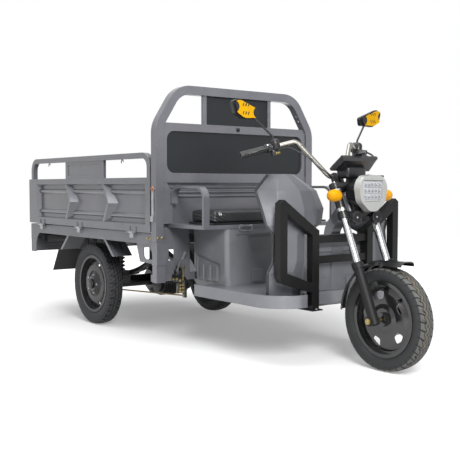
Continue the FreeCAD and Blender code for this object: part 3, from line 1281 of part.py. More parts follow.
def write():
    os.makedirs("parts", exist_ok=True)
    for name, solids in nodes().items():
        singles = [s for shape in solids for s in shape.Solids]
        whole = singles[0] if len(singles) == 1 else Part.makeCompound(singles)
        moved = whole.translated(V(-MID_X, 0, 0))
        moved.exportStep("parts/%s.step" % name)
        size = moved.BoundBox
        print("%-20s %d solids valid %s volume %.0f" % (name, len(singles), moved.isValid(), moved.Volume),
              "x %.0f %.0f" % (size.XMin, size.XMax),
              "y %.0f %.0f" % (size.YMin, size.YMax),
              "z %.0f %.0f" % (size.ZMin, size.ZMax))


if __name__ == "__main__":
    write()
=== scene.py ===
import bpy
import math
from mathutils import Matrix, Vector


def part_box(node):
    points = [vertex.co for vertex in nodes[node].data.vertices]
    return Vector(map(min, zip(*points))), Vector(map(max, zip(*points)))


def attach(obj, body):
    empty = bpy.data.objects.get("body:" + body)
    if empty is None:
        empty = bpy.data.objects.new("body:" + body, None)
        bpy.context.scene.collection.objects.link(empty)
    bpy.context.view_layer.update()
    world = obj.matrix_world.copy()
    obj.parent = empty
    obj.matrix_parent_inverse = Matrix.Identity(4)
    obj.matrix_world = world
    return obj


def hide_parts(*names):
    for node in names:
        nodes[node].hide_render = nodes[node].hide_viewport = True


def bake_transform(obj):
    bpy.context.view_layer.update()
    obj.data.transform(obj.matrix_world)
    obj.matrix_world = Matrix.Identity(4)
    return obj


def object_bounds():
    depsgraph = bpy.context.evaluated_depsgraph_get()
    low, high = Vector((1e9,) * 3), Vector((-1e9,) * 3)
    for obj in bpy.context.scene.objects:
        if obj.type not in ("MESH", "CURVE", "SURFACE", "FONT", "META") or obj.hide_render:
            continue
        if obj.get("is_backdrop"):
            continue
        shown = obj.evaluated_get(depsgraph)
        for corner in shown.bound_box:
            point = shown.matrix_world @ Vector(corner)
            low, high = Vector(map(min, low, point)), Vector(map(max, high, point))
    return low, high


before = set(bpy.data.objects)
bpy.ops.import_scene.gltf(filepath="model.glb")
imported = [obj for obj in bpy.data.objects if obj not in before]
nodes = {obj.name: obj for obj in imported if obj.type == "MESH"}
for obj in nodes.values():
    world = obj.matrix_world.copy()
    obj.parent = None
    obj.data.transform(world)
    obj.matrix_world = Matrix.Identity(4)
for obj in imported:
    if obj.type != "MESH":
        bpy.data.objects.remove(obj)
cad_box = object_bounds()
bpy.ops.object.select_all(action="DESELECT")


# Studio: a white sweep that keeps the soft shadow under the vehicle, in a white surround,
# lit by a broad soft box overhead, a key light in front and a weak fill at the left,
# and seen by a camera that stands where the photograph was taken.
def maths(tree, kind, first, second=0.0):
    """Result of one sum of two numbers or node outputs."""
    node = tree.nodes.new("ShaderNodeMath")
    node.operation = kind
    for socket, value in zip(node.inputs, (first, second)):
        if isinstance(value, (int, float)):
            socket.default_value = value
        else:
            tree.links.new(value, socket)
    return node.outputs[0]


def between(tree, value, low, high, start=0.0, end=1.0):
    """Goes from low to high as the value goes from start to end."""
    node = tree.nodes.new("ShaderNodeMapRange")
    limits = {"From Min": start, "From Max": end, "To Min": low, "To Max": high}
    for socket, limit in limits.items():
        node.inputs[socket].default_value = limit
    tree.links.new(value, node.inputs["Value"])
    return node.outputs["Result"]


def seen_rays(tree):
    """One where the studio shows in the picture, in a reflection or through glass."""
    path = tree.nodes.new("ShaderNodeLightPath")
    seen = maths(tree, "MAXIMUM", path.outputs["Is Camera Ray"], path.outputs["Is Glossy Ray"])
    return maths(tree, "MAXIMUM", seen, path.outputs["Is Transmission Ray"])


floor_bounced, floor_seen = 0.45, 0.8
shadow_lift, far_lift = 0.26, 1.0
fade_start, fade_end = 1.2, 2.6
bpy.ops.mesh.primitive_circle_add(vertices=96, radius=9.0, fill_type="NGON",
                                  location=(0, 0, -0.0005))
floor = bpy.context.object
floor.name = "studio_floor"
bpy.ops.object.transform_apply(location=True)
floor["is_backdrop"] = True
floor_white = bpy.data.materials.new("floor_white")
floor_white.use_nodes = True
tree = floor_white.node_tree
tree.nodes.clear()
where = tree.nodes.new("ShaderNodeTexCoord")
away = tree.nodes.new("ShaderNodeVectorMath")
away.operation = "LENGTH"
tree.links.new(where.outputs["Object"], away.inputs[0])
seen = seen_rays(tree)
matt = tree.nodes.new("ShaderNodeBsdfDiffuse")
tree.links.new(between(tree, seen, floor_bounced, floor_seen), matt.inputs["Color"])
glow = tree.nodes.new("ShaderNodeEmission")
fade = between(tree, away.outputs["Value"], shadow_lift, far_lift, fade_start, fade_end)
tree.links.new(maths(tree, "MULTIPLY", seen, fade), glow.inputs["Strength"])
both = tree.nodes.new("ShaderNodeAddShader")
tree.links.new(matt.outputs[0], both.inputs[0])
tree.links.new(glow.outputs[0], both.inputs[1])
out = tree.nodes.new("ShaderNodeOutputMaterial")
tree.links.new(both.outputs[0], out.inputs["Surface"])
floor.data.materials.append(floor_white)

surround_light, surround_seen = 0.3, 1.0
world = bpy.data.worlds.new("white_surround")
bpy.context.scene.world = world
world.use_nodes = True
tree = world.node_tree
tree.nodes.clear()
sky = tree.nodes.new("ShaderNodeBackground")
sky.inputs["Color"].default_value = (1, 1, 1, 1)
sky_level = between(tree, seen_rays(tree), surround_light, surround_seen)
tree.links.new(sky_level, sky.inputs["Strength"])
out = tree.nodes.new("ShaderNodeOutputWorld")
tree.links.new(sky.outputs[0], out.inputs["Surface"])


def softbox(name, place, target, size, power):
    lamp = bpy.data.lights.new(name, "AREA")
    lamp.shape = "DISK"
    lamp.size = size
    lamp.energy = power
    holder = bpy.data.objects.new(name, lamp)
    bpy.context.collection.objects.link(holder)
    holder.location = place
    aim = Vector(target) - Vector(place)
    holder.rotation_euler = aim.to_track_quat("-Z", "Y").to_euler()


softbox("overhead", (0.2, -0.6, 4.2), (0.1, 0, 0.4), 4.0, 125)
softbox("left_fill", (0.6, -4.6, 2.2), (0, 0, 0.6), 2.4, 4)
softbox("front_key", (3.95, -1.85, 2.5), (0.4, 0, 0.6), 1.6, 178)

frame_px, focal_px = 460, 814
view = bpy.data.cameras.new("photo_view")
view.sensor_width = 36.0
view.lens = view.sensor_width * focal_px / frame_px
camera = bpy.data.objects.new("photo_view", view)
bpy.context.collection.objects.link(camera)
camera.location = (3.6993, -2.7481, 0.8269)
yaw, pitch = math.radians(142.9277), math.radians(-3.0568)
sight = Vector((math.cos(yaw) * math.cos(pitch), math.sin(yaw) * math.cos(pitch),
                math.sin(pitch)))
camera.rotation_euler = sight.to_track_quat("-Z", "Y").to_euler()
bpy.context.scene.camera = camera
bpy.context.scene.view_settings.view_transform = "Standard"


# Chassis, bed and headboard: welded steel tube and pressed sheet, sprayed a satin mid-grey
# with a fine metal flake. The sills are chequered plate, and yellow zinc bolts hold them
# to the posts.
def noise(tree, where, scale, detail):
    node = tree.nodes.new("ShaderNodeTexNoise")
    node.inputs["Scale"].default_value = scale
    node.inputs["Detail"].default_value = detail
    tree.links.new(where, node.inputs["Vector"])
    return node.outputs["Fac"]


def bumped(tree, height, strength, depth, normal):
    node = tree.nodes.new("ShaderNodeBump")
    node.inputs["Strength"].default_value = strength
    node.inputs["Distance"].default_value = depth
    tree.links.new(height, node.inputs["Height"])
    tree.links.new(normal, node.inputs["Normal"])
    return node.outputs["Normal"]


def surface(name, colour, rough, metal=0.0, coat=0.0, mottle=0.08, mottle_scale=9.0,
            grain=0.03, grain_scale=600.0, level=0.5, edge=0.0015,
            relief=None, depth=0.001, bands=()):
    """Mottled finish with a fine grain and eased edges. Relief and bands are patterns that are
    worked out from the piece's own X, Y and Z: the relief is raised, and a band has its colour."""
    made = bpy.data.materials.new(name)
    made.use_nodes = True
    tree = made.node_tree
    shader = tree.nodes["Principled BSDF"]
    shader.inputs["Metallic"].default_value = metal
    shader.inputs["Coat Weight"].default_value = coat
    shader.inputs["Coat Roughness"].default_value = 0.1
    shader.inputs["Specular IOR Level"].default_value = level
    where = tree.nodes.new("ShaderNodeTexCoord").outputs["Object"]
    axes = tree.nodes.new("ShaderNodeSeparateXYZ")
    tree.links.new(where, axes.inputs[0])
    cloud = noise(tree, where, mottle_scale, 6.0)
    tint = tree.nodes.new("ShaderNodeValToRGB")
    for stop, place, share in zip(tint.color_ramp.elements, (0.3, 0.7), (1 - mottle, 1 + mottle)):
        stop.position = place
        stop.color = [min(1.0, part * share) for part in colour] + [1]
    tree.links.new(cloud, tint.inputs["Fac"])
    uneven = 0.06
    gloss = between(tree, cloud, max(0.02, rough - uneven), rough + uneven)
    tree.links.new(gloss, shader.inputs["Roughness"])
    shade = tint.outputs["Color"]
    factor_in, under_in, over_in, colour_out = 0, 6, 7, 2
    for band, other in bands:
        blend = tree.nodes.new("ShaderNodeMix")
        blend.data_type = "RGBA"
        blend.inputs[over_in].default_value = (*other, 1)
        tree.links.new(band(tree, *axes.outputs), blend.inputs[factor_in])
        tree.links.new(shade, blend.inputs[under_in])
        shade = blend.outputs[colour_out]
    tree.links.new(shade, shader.inputs["Base Color"])
    eased = tree.nodes.new("ShaderNodeBevel")
    eased.samples = 4
    eased.inputs["Radius"].default_value = edge
    speck = noise(tree, where, grain_scale, 3.0)
    normal = bumped(tree, speck, grain, 0.002, eased.outputs["Normal"])
    if relief:
        normal = bumped(tree, relief(tree, *axes.outputs), 1.0, depth, normal)
    tree.links.new(normal, shader.inputs["Normal"])
    return made


def dress(names, finish):
    """Gives solids of the frame their finish."""
    for name in names.split():
        for slot in nodes[name].material_slots:
            slot.material = finish


def chequer(tree, x, y, z):
    """Short raised bars that lie in turn to the left and to the right."""
    pace, sharpness = 150, 6
    run, climb = maths(tree, "MULTIPLY", x, pace), maths(tree, "MULTIPLY", z, pace)
    bars = []
    for kind in ("ADD", "SUBTRACT"):
        wave = maths(tree, "ABSOLUTE", maths(tree, "SINE", maths(tree, kind, run, climb)))
        bars.append(maths(tree, "POWER", wave, sharpness))
    return maths(tree, "MAXIMUM", *bars)


paint = (0.163, 0.165, 0.184)
body_paint = surface("body_paint", paint, 0.3, metal=0.3, coat=0.35, grain_scale=900, edge=0.003)
dress("chassis_frame bed_floor headboard_frame front_sheet rear_mudguards", body_paint)
dress("right_side_panel left_side_panel tailgate", body_paint)
tread_paint = surface("tread_paint", paint, 0.36, metal=0.3, coat=0.15,
                      relief=chequer, depth=0.0011)
dress("bed_sills", tread_paint)


def settle(piece):
    """Puts the piece's place, turn and scale into its mesh."""
    bpy.ops.object.select_all(action="DESELECT")
    piece.select_set(True)
    bpy.context.view_layer.objects.active = piece
    bpy.ops.object.transform_apply(location=True, rotation=True, scale=True)
    return piece


def shade_edges():
    """Shades the piece at hand smooth, apart from its sharp edges."""
    bpy.ops.object.shade_smooth_by_angle(angle=math.radians(40))


def soften(piece, width, segments=2):
    """Rounds the piece's sharp edges and shades it."""
    settle(piece)
    edge = piece.modifiers.new("edge", "BEVEL")
    edge.width = width
    edge.segments = segments
    edge.limit_method = "ANGLE"
    bpy.ops.object.modifier_apply(modifier="edge")
    shade_edges()
    return piece


def join(name, pieces):
    """Makes one piece of several."""
    bpy.ops.object.select_all(action="DESELECT")
    for piece in pieces:
        piece.select_set(True)
    bpy.context.view_layer.objects.active = pieces[0]
    if len(pieces) > 1:
        bpy.ops.object.join()
    pieces[0].name = name
    return pieces[0]


def master(piece):
    """Keeps the mesh of a piece that is modelled once, for its copies."""
    mesh = piece.data.copy()
    bpy.data.objects.remove(piece)
    return mesh


def place(name, mesh):
    """Sets a mesh into the scene as a piece of its own."""
    piece = bpy.data.objects.new(name, mesh)
    bpy.context.collection.objects.link(piece)
    return piece


def repeat(name, mesh, spots):
    """Copies a mesh modelled at the origin and facing +Z to each spot and facing, as one piece."""
    pieces = []
    for point, facing in spots:
        own = mesh.copy()
        turn = Vector(facing).to_track_quat("Z", "Y").to_matrix().to_4x4()
        own.transform(Matrix.Translation(Vector(point)) @ turn)
        pieces.append(place(name, own))
    return join(name, pieces)


def mirrored(spots):
    """The same spots on both sides of the vehicle."""
    return spots + [((x, -y, z), (u, -v, w)) for (x, y, z), (u, v, w) in spots]


def fit(piece, body, finish):
    """Gives a finished piece its material and the body that it moves with."""
    piece.data.materials.clear()
    piece.data.materials.append(finish)
    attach(piece, body)


ahead, right = (1, 0, 0), (0, -1, 0)
washer_height = 0.0016
bpy.ops.mesh.primitive_cylinder_add(vertices=6, radius=0.0054, depth=0.0044,
                                    location=(0, 0, 0.0034))
head = soften(bpy.context.object, 0.0007)
bpy.ops.mesh.primitive_cylinder_add(vertices=28, radius=0.0076, depth=washer_height,
                                    location=(0, 0, washer_height / 2))
washer = soften(bpy.context.object, 0.0004)
bolt_mesh = master(join("hex_bolt", [head, washer]))

zinc = surface("yellow_zinc", (0.34, 0.27, 0.12), 0.34, metal=1.0, mottle=0.25, mottle_scale=70)
sill_y, post_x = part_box("bed_sills")[0][1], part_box("headboard_frame")[1][0]
sill_row, post_row = 0.556, 0.562
sill_bolts = repeat("sill_bolts", bolt_mesh, mirrored(
    [((x, sill_y, sill_row), right) for x in (0.048, 0.081)]
    + [((post_x, y, post_row), ahead) for y in (-0.504, -0.528)]))
fit(sill_bolts, "chassis", zinc)

# Rear axle: a driven tube axle in black paint on two leaf springs and two coil-over dampers.
# The springs are copies of their solids in spring steel, which take the solids' places.
black_paint = surface("black_paint", (0.013, 0.013, 0.014), 0.32, coat=0.12, level=0.35)
dress("axle_housing damper_uppers drive_motor spring_hangers", black_paint)
spring_steel = surface("spring_steel", (0.028, 0.028, 0.03), 0.38, metal=0.4, coat=0.1)
dress("damper_lowers", spring_steel)


def seal(piece, ends=True):
    """Merges the piece's doubled points, and closes open ends with all faces outwards."""
    settle(piece)
    bpy.ops.object.mode_set(mode="EDIT")
    bpy.ops.mesh.select_all(action="SELECT")
    bpy.ops.mesh.remove_doubles(threshold=1e-6)
    if ends:
        bpy.ops.mesh.fill_holes(sides=0)
        bpy.ops.mesh.normals_make_consistent(inside=False)
    bpy.ops.object.mode_set(mode="OBJECT")


def flexing(node):
    """Copy of a spring's solid in spring steel, which takes the hidden solid's place."""
    spring = place(node + "_flexing", nodes[node].data.copy())
    seal(spring, ends=False)
    shade_edges()
    spring.data.materials.clear()
    spring.data.materials.append(spring_steel)
    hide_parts(node)
    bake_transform(spring)


flexing("coil_springs")
flexing("leaf_springs")

# Wheels: pressed steel rims in gloss black and tubed rubber tyres. Each rear wheel is held by
# five nuts round a dust cap, and every rim has its valve.
rim_gloss = surface("rim_gloss", (0.014, 0.014, 0.015), 0.18, coat=0.4)
dress("front_rim", rim_gloss)
rear_rim_black = surface("rear_rim_black", (0.024, 0.024, 0.026), 0.24, coat=0.15, level=0.3)
dress("right_rear_rim left_rear_rim", rear_rim_black)


def middle(node):
    low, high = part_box(node)
    return (Vector(low) + Vector(high)) / 2


rear_hub, front_hub = middle("right_rear_tyre"), middle("front_tyre")
round_turn = 2 * math.pi


def about(tree, x, z, hub):
    """Radius and angle round a wheel's axle."""
    run, climb = maths(tree, "SUBTRACT", x, hub.x), maths(tree, "SUBTRACT", z, hub.z)
    square = maths(tree, "ADD", maths(tree, "MULTIPLY", run, run),
                   maths(tree, "MULTIPLY", climb, climb))
    return maths(tree, "SQRT", square), maths(tree, "ARCTAN2", climb, run)


def rear_ribs(tree, x, y, z):
    """Fine rings on the side wall, with a rim of short radial ribs under the tread."""
    ring_pitch, wall_end, rib_start, rib_end, rib_count = 0.0065, 0.214, 0.206, 0.224, 120
    radius, angle = about(tree, x, z, rear_hub)
    rings = maths(tree, "SINE", maths(tree, "MULTIPLY", radius, round_turn / ring_pitch))
    wall = maths(tree, "LESS_THAN", radius, wall_end)
    ribs = maths(tree, "SINE", maths(tree, "MULTIPLY", angle, rib_count))
    rim = maths(tree, "MULTIPLY", maths(tree, "GREATER_THAN", radius, rib_start),
                maths(tree, "LESS_THAN", radius, rib_end))
    return maths(tree, "ADD", maths(tree, "MULTIPLY", rings, wall),
                 maths(tree, "MULTIPLY", ribs, rim))


def rear_groove_shade(tree, x, y, z):
    """Painted shade in the cuts between the small blocks that run in rows round the tread."""
    row_half, cut_half, cut_share = 0.0095, 0.0016, 0.13
    block_count, slope, tread_start = 64, 26, 0.221
    radius, angle = about(tree, x, z, rear_hub)
    aside = maths(tree, "SUBTRACT", maths(tree, "ABSOLUTE", y), abs(rear_hub.y))
    row = maths(tree, "PINGPONG", maths(tree, "ADD", aside, 0.5), row_half)
    step = maths(tree, "ADD", maths(tree, "MULTIPLY", angle, block_count / round_turn),
                 maths(tree, "MULTIPLY", aside, slope))
    across = maths(tree, "LESS_THAN", maths(tree, "PINGPONG", step, 0.5), cut_share)
    cut = maths(tree, "MAXIMUM", across, maths(tree, "LESS_THAN", row, cut_half))
    return maths(tree, "MULTIPLY", cut, maths(tree, "GREATER_THAN", radius, tread_start))


zig_count, shoulder_y = 40, 0.019


def zigzag(tree, y, angle, centre, half):
    """One where a zigzag line of that half width runs round the tread, and nought beside it."""
    swing = 0.005
    turn = maths(tree, "MULTIPLY", maths(tree, "ADD", angle, math.pi), zig_count / round_turn)
    wave = maths(tree, "SUBTRACT", maths(tree, "PINGPONG", turn, 0.5), 0.25)
    aside = maths(tree, "SUBTRACT", maths(tree, "SUBTRACT", y, centre),
                  maths(tree, "MULTIPLY", wave, 4 * swing))
    return maths(tree, "LESS_THAN", maths(tree, "ABSOLUTE", aside), half)


def front_grooves(tree, x, y, z):
    """Zigzag grooves round the tread, joined by slanted cuts at its shoulders."""
    groove_start, slope, cut_share = 0.212, 14, 0.09
    radius, angle = about(tree, x, z, front_hub)
    lines = zigzag(tree, y, angle, 0.0, 0.0022)
    for centre in (-shoulder_y, shoulder_y):
        lines = maths(tree, "MAXIMUM", lines, zigzag(tree, y, angle, centre, 0.002))
    slant = maths(tree, "ADD", maths(tree, "MULTIPLY", angle, zig_count / round_turn),
                  maths(tree, "MULTIPLY", y, slope))
    cuts = maths(tree, "LESS_THAN", maths(tree, "PINGPONG", slant, 0.5), cut_share)
    outer = maths(tree, "GREATER_THAN", maths(tree, "ABSOLUTE", y), shoulder_y)
    both = maths(tree, "MAXIMUM", lines, maths(tree, "MULTIPLY", cuts, outer))
    return maths(tree, "MULTIPLY", both, maths(tree, "GREATER_THAN", radius, groove_start))


def front_crown(tree, x, y, z):
    """One on the tread, which is a little paler than the side walls."""
    return maths(tree, "GREATER_THAN", about(tree, x, z, front_hub)[0], 0.223)


def front_tread(tree, x, y, z):
    """Sunk grooves on the tread, and faint rings on the side walls."""
    ring_pitch, wall_end, ring_height = 0.006, 0.208, 0.05
    radius = about(tree, x, z, front_hub)[0]
    rings = maths(tree, "SINE", maths(tree, "MULTIPLY", radius, round_turn / ring_pitch))
    wall = maths(tree, "MULTIPLY", maths(tree, "LESS_THAN", radius, wall_end), ring_height)
    return maths(tree, "SUBTRACT", maths(tree, "MULTIPLY", rings, wall),
                 front_grooves(tree, x, y, z))


def moulding_line(tree, x, y, z):
    """Yellow line that the maker leaves round a new tyre's crown."""
    radius, angle = about(tree, x, z, front_hub)
    line = zigzag(tree, y, angle, -0.009, 0.0011)
    return maths(tree, "MULTIPLY", line, maths(tree, "GREATER_THAN", radius, 0.226))


# The tread's cuts are painted shade: the band darkens the rubber there.
rear_rubber = surface("rear_rubber", (0.043, 0.044, 0.048), 0.6, grain=0.08, grain_scale=300,
                      level=0.35, relief=rear_ribs, depth=0.0006,
                      bands=((rear_groove_shade, (0.012, 0.012, 0.013)),))
dress("right_rear_tyre left_rear_tyre", rear_rubber)
# The groove band is painted shade: it darkens the rubber in the sunk grooves.
front_rubber = surface("front_rubber", (0.026, 0.027, 0.028), 0.62, grain=0.08, grain_scale=300,
                       level=0.35, relief=front_tread, depth=0.003,
                       bands=((front_crown, (0.12, 0.12, 0.115)),
                              (front_grooves, (0.012, 0.012, 0.012)),
                              (moulding_line, (0.3, 0.2, 0.04))))
dress("front_tyre", front_rubber)


def press(piece, rim, *steps):
    """Insets the piece's top by a rim, then lifts or sinks it and shrinks it, step by step."""
    bpy.context.scene.tool_settings.mesh_select_mode = (False, False, True)
    for face in piece.data.polygons:
        face.select = face.normal.z > 0.9
    bpy.ops.object.mode_set(mode="EDIT")
    if rim:
        bpy.ops.mesh.inset(thickness=rim)
    for lift, share in steps:
        bpy.ops.mesh.extrude_region_move(TRANSFORM_OT_translate={"value": (0, 0, lift)})
        if share != 1:
            bpy.ops.transform.resize(value=(share, share, 1))
    bpy.ops.object.mode_set(mode="OBJECT")
    return piece


bpy.ops.mesh.primitive_cylinder_add(vertices=40, radius=0.03, depth=0.01, location=(0, 0, 0.005))
cap = press(bpy.context.object, 0.006, (0.004, 0.8))
cap_mesh = master(soften(cap, 0.0016))
# The valve's body is extruded whole, so it and its copy 8 mm further out overlap as one stem.
bpy.ops.mesh.primitive_cylinder_add(vertices=16, radius=0.0042, depth=0.022,
                                    location=(0, 0, 0.011))
valve = bpy.context.object
bpy.ops.object.mode_set(mode="EDIT")
bpy.ops.mesh.select_all(action="SELECT")
bpy.ops.mesh.extrude_region_move(TRANSFORM_OT_translate={"value": (0, 0, 0.008)})
bpy.ops.object.mode_set(mode="OBJECT")
valve_mesh = master(soften(valve, 0.0006))

black_plastic = surface("black_plastic", (0.014, 0.014, 0.016), 0.34, coat=0.08, grain=0.05,
                        grain_scale=700, level=0.35)
galvanised = surface("galvanised", (0.36, 0.365, 0.375), 0.4, metal=1.0, mottle=0.2,
                     mottle_scale=50)
sides = ((-1, "right"), (1, "left"))
nut_count, nut_circle, first_nut = 5, 0.055, 18
nut_out, cap_out, valve_out = 0.036, 0.0418, 0.006
for side, name in sides:
    wheel, outward = "rear_wheel_" + name, (0, side, 0)
    nut_y = side * (abs(rear_hub.y) + nut_out)
    cap_y = side * (abs(rear_hub.y) + cap_out)
    valve_y = side * (abs(rear_hub.y) + valve_out)
    nuts = []
    for i in range(nut_count):
        turn = math.radians(360 / nut_count * i + first_nut)
        nuts.append(((rear_hub.x + nut_circle * math.sin(turn), nut_y,
                      rear_hub.z + nut_circle * math.cos(turn)), outward))
    wheel_nuts = repeat(name + "_wheel_nuts", bolt_mesh, nuts)
    fit(wheel_nuts, wheel, galvanised)
    dust_cap = repeat(name + "_dust_cap", cap_mesh, [((rear_hub.x, cap_y, rear_hub.z), outward)])
    fit(dust_cap, wheel, black_plastic)
    rear_valve = repeat(name + "_valve", valve_mesh, [
        ((rear_hub.x + 0.146, valve_y, rear_hub.z + 0.03), (0.5, side * 0.8, 0.2))])
    fit(rear_valve, wheel, black_plastic)
front_valve = repeat("front_valve", valve_mesh, [
    ((front_hub.x + 0.1, -0.018, front_hub.z + 0.103), (-0.45, -0.75, -0.45))])
fit(front_valve, "front_wheel", black_plastic)

# Drop sides and tailgate: pressed sheet on barrel hinges, held shut by a swinging latch at each
# post. Wire hooks for a load cover are welded under the side rails, and each latch pivot carries
# a reflector.
dress("hinge_barrels right_latch left_latch", galvanised)
hook_shank, hook_bend = 0.014, 0.011
bpy.ops.mesh.primitive_circle_add(vertices=10, radius=0.0028, location=(0, 0, 0))
hook = bpy.context.object
bpy.ops.object.mode_set(mode="EDIT")
bpy.ops.mesh.select_all(action="SELECT")
bpy.ops.mesh.extrude_region_move(TRANSFORM_OT_translate={"value": (0, 0, hook_shank)})
bpy.ops.mesh.spin(steps=12, angle=math.radians(215), center=(hook_bend, 0, hook_shank),
                  axis=(0, 1, 0))
bpy.ops.object.mode_set(mode="OBJECT")
seal(hook)
hook_mesh = master(soften(hook, 0.0005, 1))
panel_y, rail_z = 0.523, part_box("right_side_panel")[1][2] - 0.0295
for side, name in sides:
    cover_hooks = repeat(name + "_cover_hooks", hook_mesh, [
        ((x, side * panel_y, rail_z), (0, 0, -1)) for x in (-1.148, -0.213)])
    fit(cover_hooks, "side_" + name, body_paint)

bpy.ops.mesh.primitive_cylinder_add(vertices=32, radius=0.0125, depth=0.003,
                                    location=(0, 0, 0.0015))
reflector = press(bpy.context.object, 0.0018, (-0.001, 1))
reflector_mesh = master(soften(reflector, 0.0005))


def prisms(tree, x, y, z):
    """Small moulded prisms on the inside of a lens."""
    pace = 2200
    across = maths(tree, "SINE", maths(tree, "MULTIPLY", x, pace))
    upward = maths(tree, "SINE", maths(tree, "MULTIPLY", z, pace))
    return maths(tree, "MULTIPLY", across, upward)


amber = surface("amber_lens", (0.9, 0.24, 0.008), 0.3, mottle=0.12, mottle_scale=60, coat=0.1,
                grain=0, level=0.2, relief=prisms, depth=0.0006)
latch_face = 0.5476
latch_low, latch_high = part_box("right_latch")
for side, name in sides:
    spot = ((latch_low[0] + latch_high[0]) / 2, side * latch_face, latch_high[2] - 0.014)
    disc = repeat(name + "_reflector", reflector_mesh, [(spot, (0, side, 0))])
    fit(disc, "latch_" + name, amber)

# Rear end: cut rubber mud flaps hang behind the wheels, and a tail lamp is bolted on at each
# corner, with a dark moulded body behind a ribbed red lens.
rubber = surface("rubber", (0.025, 0.025, 0.027), 0.6, grain=0.08, grain_scale=400)
dress("mud_flaps", rubber)
lens_depth, rib_pitch = 0.0105, 0.009
lamp_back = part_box("tail_lamps")[0][0] + lens_depth


def lamp_body(tree, x, y, z):
    return maths(tree, "GREATER_THAN", x, lamp_back)


def lamp_ribs(tree, x, y, z):
    return maths(tree, "SINE", maths(tree, "MULTIPLY", y, round_turn / rib_pitch))


red_lens = surface("red_lens", (0.34, 0.012, 0.012), 0.16, coat=0.5, grain=0,
                   relief=lamp_ribs, depth=0.001, bands=((lamp_body, (0.02, 0.02, 0.022)),))
dress("tail_lamps", red_lens)

# Headboard: black laminated boards in the painted tube frame, a turn-button that holds the back
# board, and two bolts through each slanted corner of the frame.
board = surface("board_black", (0.02, 0.0225, 0.0255), 0.5, mottle=0.06, grain=0.12,
                grain_scale=500, level=0.25)
dress("headboard_panels", board)
into_corner = (0, 0.84, -0.54)
corner_bolts = repeat("corner_bolts", bolt_mesh, mirrored([
    ((0.128, -0.431, 1.231), into_corner), ((0.128, -0.449, 1.203), into_corner)]))
fit(corner_bolts, "chassis", galvanised)
bpy.ops.mesh.primitive_cylinder_add(vertices=28, radius=0.011, depth=0.006, location=(0, 0, 0.003))
button = press(bpy.context.object, 0.004, (0.004, 1))
button_mesh = master(soften(button, 0.0008))
turn_button = repeat("turn_button", button_mesh, [((0.1398, -0.004, 1.137), ahead)])
fit(turn_button, "chassis", black_plastic)

# Seat: a painted shelf with grab rails, and over it a hinged board with a foam pad in black
# vinyl, sewn at its end panels and vented by an eyelet. A steel hasp on the shelf's front edge
# locks the box below.
dress("seat_shelf", body_paint)
dress("seat_base", black_plastic)


def block(size, spot, round_off, segments=2):
    """Rounded block of that size."""
    bpy.ops.mesh.primitive_cube_add(size=1, location=spot)
    bpy.context.object.scale = size
    return soften(bpy.context.object, round_off, segments)


pad_low, pad_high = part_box("seat_cushion")
pad_mid = middle("seat_cushion")
pad_size = Vector(pad_high) - Vector(pad_low)
cushion = block((0.97 * pad_size.x, 0.985 * pad_size.y, 0.94 * pad_size.z),
                (pad_mid.x, pad_mid.y, pad_low[2] + 0.47 * pad_size.z), 0.011, 4)
cushion.name = "seat_pad"
even = cushion.modifiers.new("even", "REMESH")
even.mode = "VOXEL"
even.voxel_size = 0.006
bpy.ops.object.modifier_apply(modifier="even")
swell_steps, swell_cap = 20, 0.005
before = [point.co.copy() for point in cushion.data.vertices]
fill = cushion.modifiers.new("fill", "CLOTH")
fill.settings.quality = 5
fill.settings.mass = 0.3
fill.settings.tension_stiffness = 12
fill.settings.compression_stiffness = 12
fill.settings.use_pressure = True
fill.settings.uniform_pressure_force = 3
fill.settings.effector_weights.gravity = 0
for step in range(swell_steps):
    bpy.context.scene.frame_set(step + 1)
bpy.ops.object.modifier_apply(modifier="fill")
bpy.context.scene.frame_set(1)
for point, old in zip(cushion.data.vertices, before):
    shift = point.co - old
    if shift.length > swell_cap:
        shift *= swell_cap / shift.length
    point.co = old + shift
    point.co.z = max(point.co.z, pad_low[2])
smooth = cushion.modifiers.new("smooth", "SUBSURF")
smooth.levels = 1
smooth.render_levels = 1
bpy.ops.object.modifier_apply(modifier="smooth")
bpy.ops.object.shade_smooth()


def seam_and_creases(tree, x, y, z):
    """Sewn lines at the end panels, and creases where the cover is gathered round the ends."""
    seam_y, stitch_half, fold_height, seam_depth = 0.298, 0.0016, 0.6, 2.0
    aside = maths(tree, "SUBTRACT", maths(tree, "ABSOLUTE", y), seam_y)
    sewn = maths(tree, "LESS_THAN", maths(tree, "ABSOLUTE", aside), stitch_half)
    gathered = maths(tree, "GREATER_THAN", aside, 0.0)
    slant = maths(tree, "ADD", maths(tree, "MULTIPLY", z, 380), maths(tree, "MULTIPLY", y, 160))
    folds = maths(tree, "SINE", maths(tree, "ADD", slant, maths(tree, "MULTIPLY", x, 60)))
    creases = maths(tree, "MULTIPLY", maths(tree, "MULTIPLY", folds, fold_height), gathered)
    return maths(tree, "SUBTRACT", creases, maths(tree, "MULTIPLY", sewn, seam_depth))


vinyl = surface("black_vinyl", (0.021, 0.022, 0.024), 0.42, mottle=0.15, mottle_scale=16,
                grain=0.25, grain_scale=420, relief=seam_and_creases, depth=0.0016)
fit(cushion, "seat", vinyl)
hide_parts("seat_cushion")

bpy.ops.mesh.primitive_torus_add(major_radius=0.0075, minor_radius=0.0022, major_segments=36,
                                 minor_segments=10, location=(0, 0, 0.001))
eyelet_ring = soften(bpy.context.object, 0.0003, 1)
bpy.ops.mesh.primitive_cylinder_add(vertices=24, radius=0.0072, depth=0.0016, location=(0, 0, 0))
eyelet_mesh = master(join("eyelet", [eyelet_ring, soften(bpy.context.object, 0.0004)]))
breather = repeat("pad_breather", eyelet_mesh, [
    ((pad_high[0] - 0.0035, -0.337, 0.688), (0.9, 0, 0.42))])
fit(breather, "seat", galvanised)

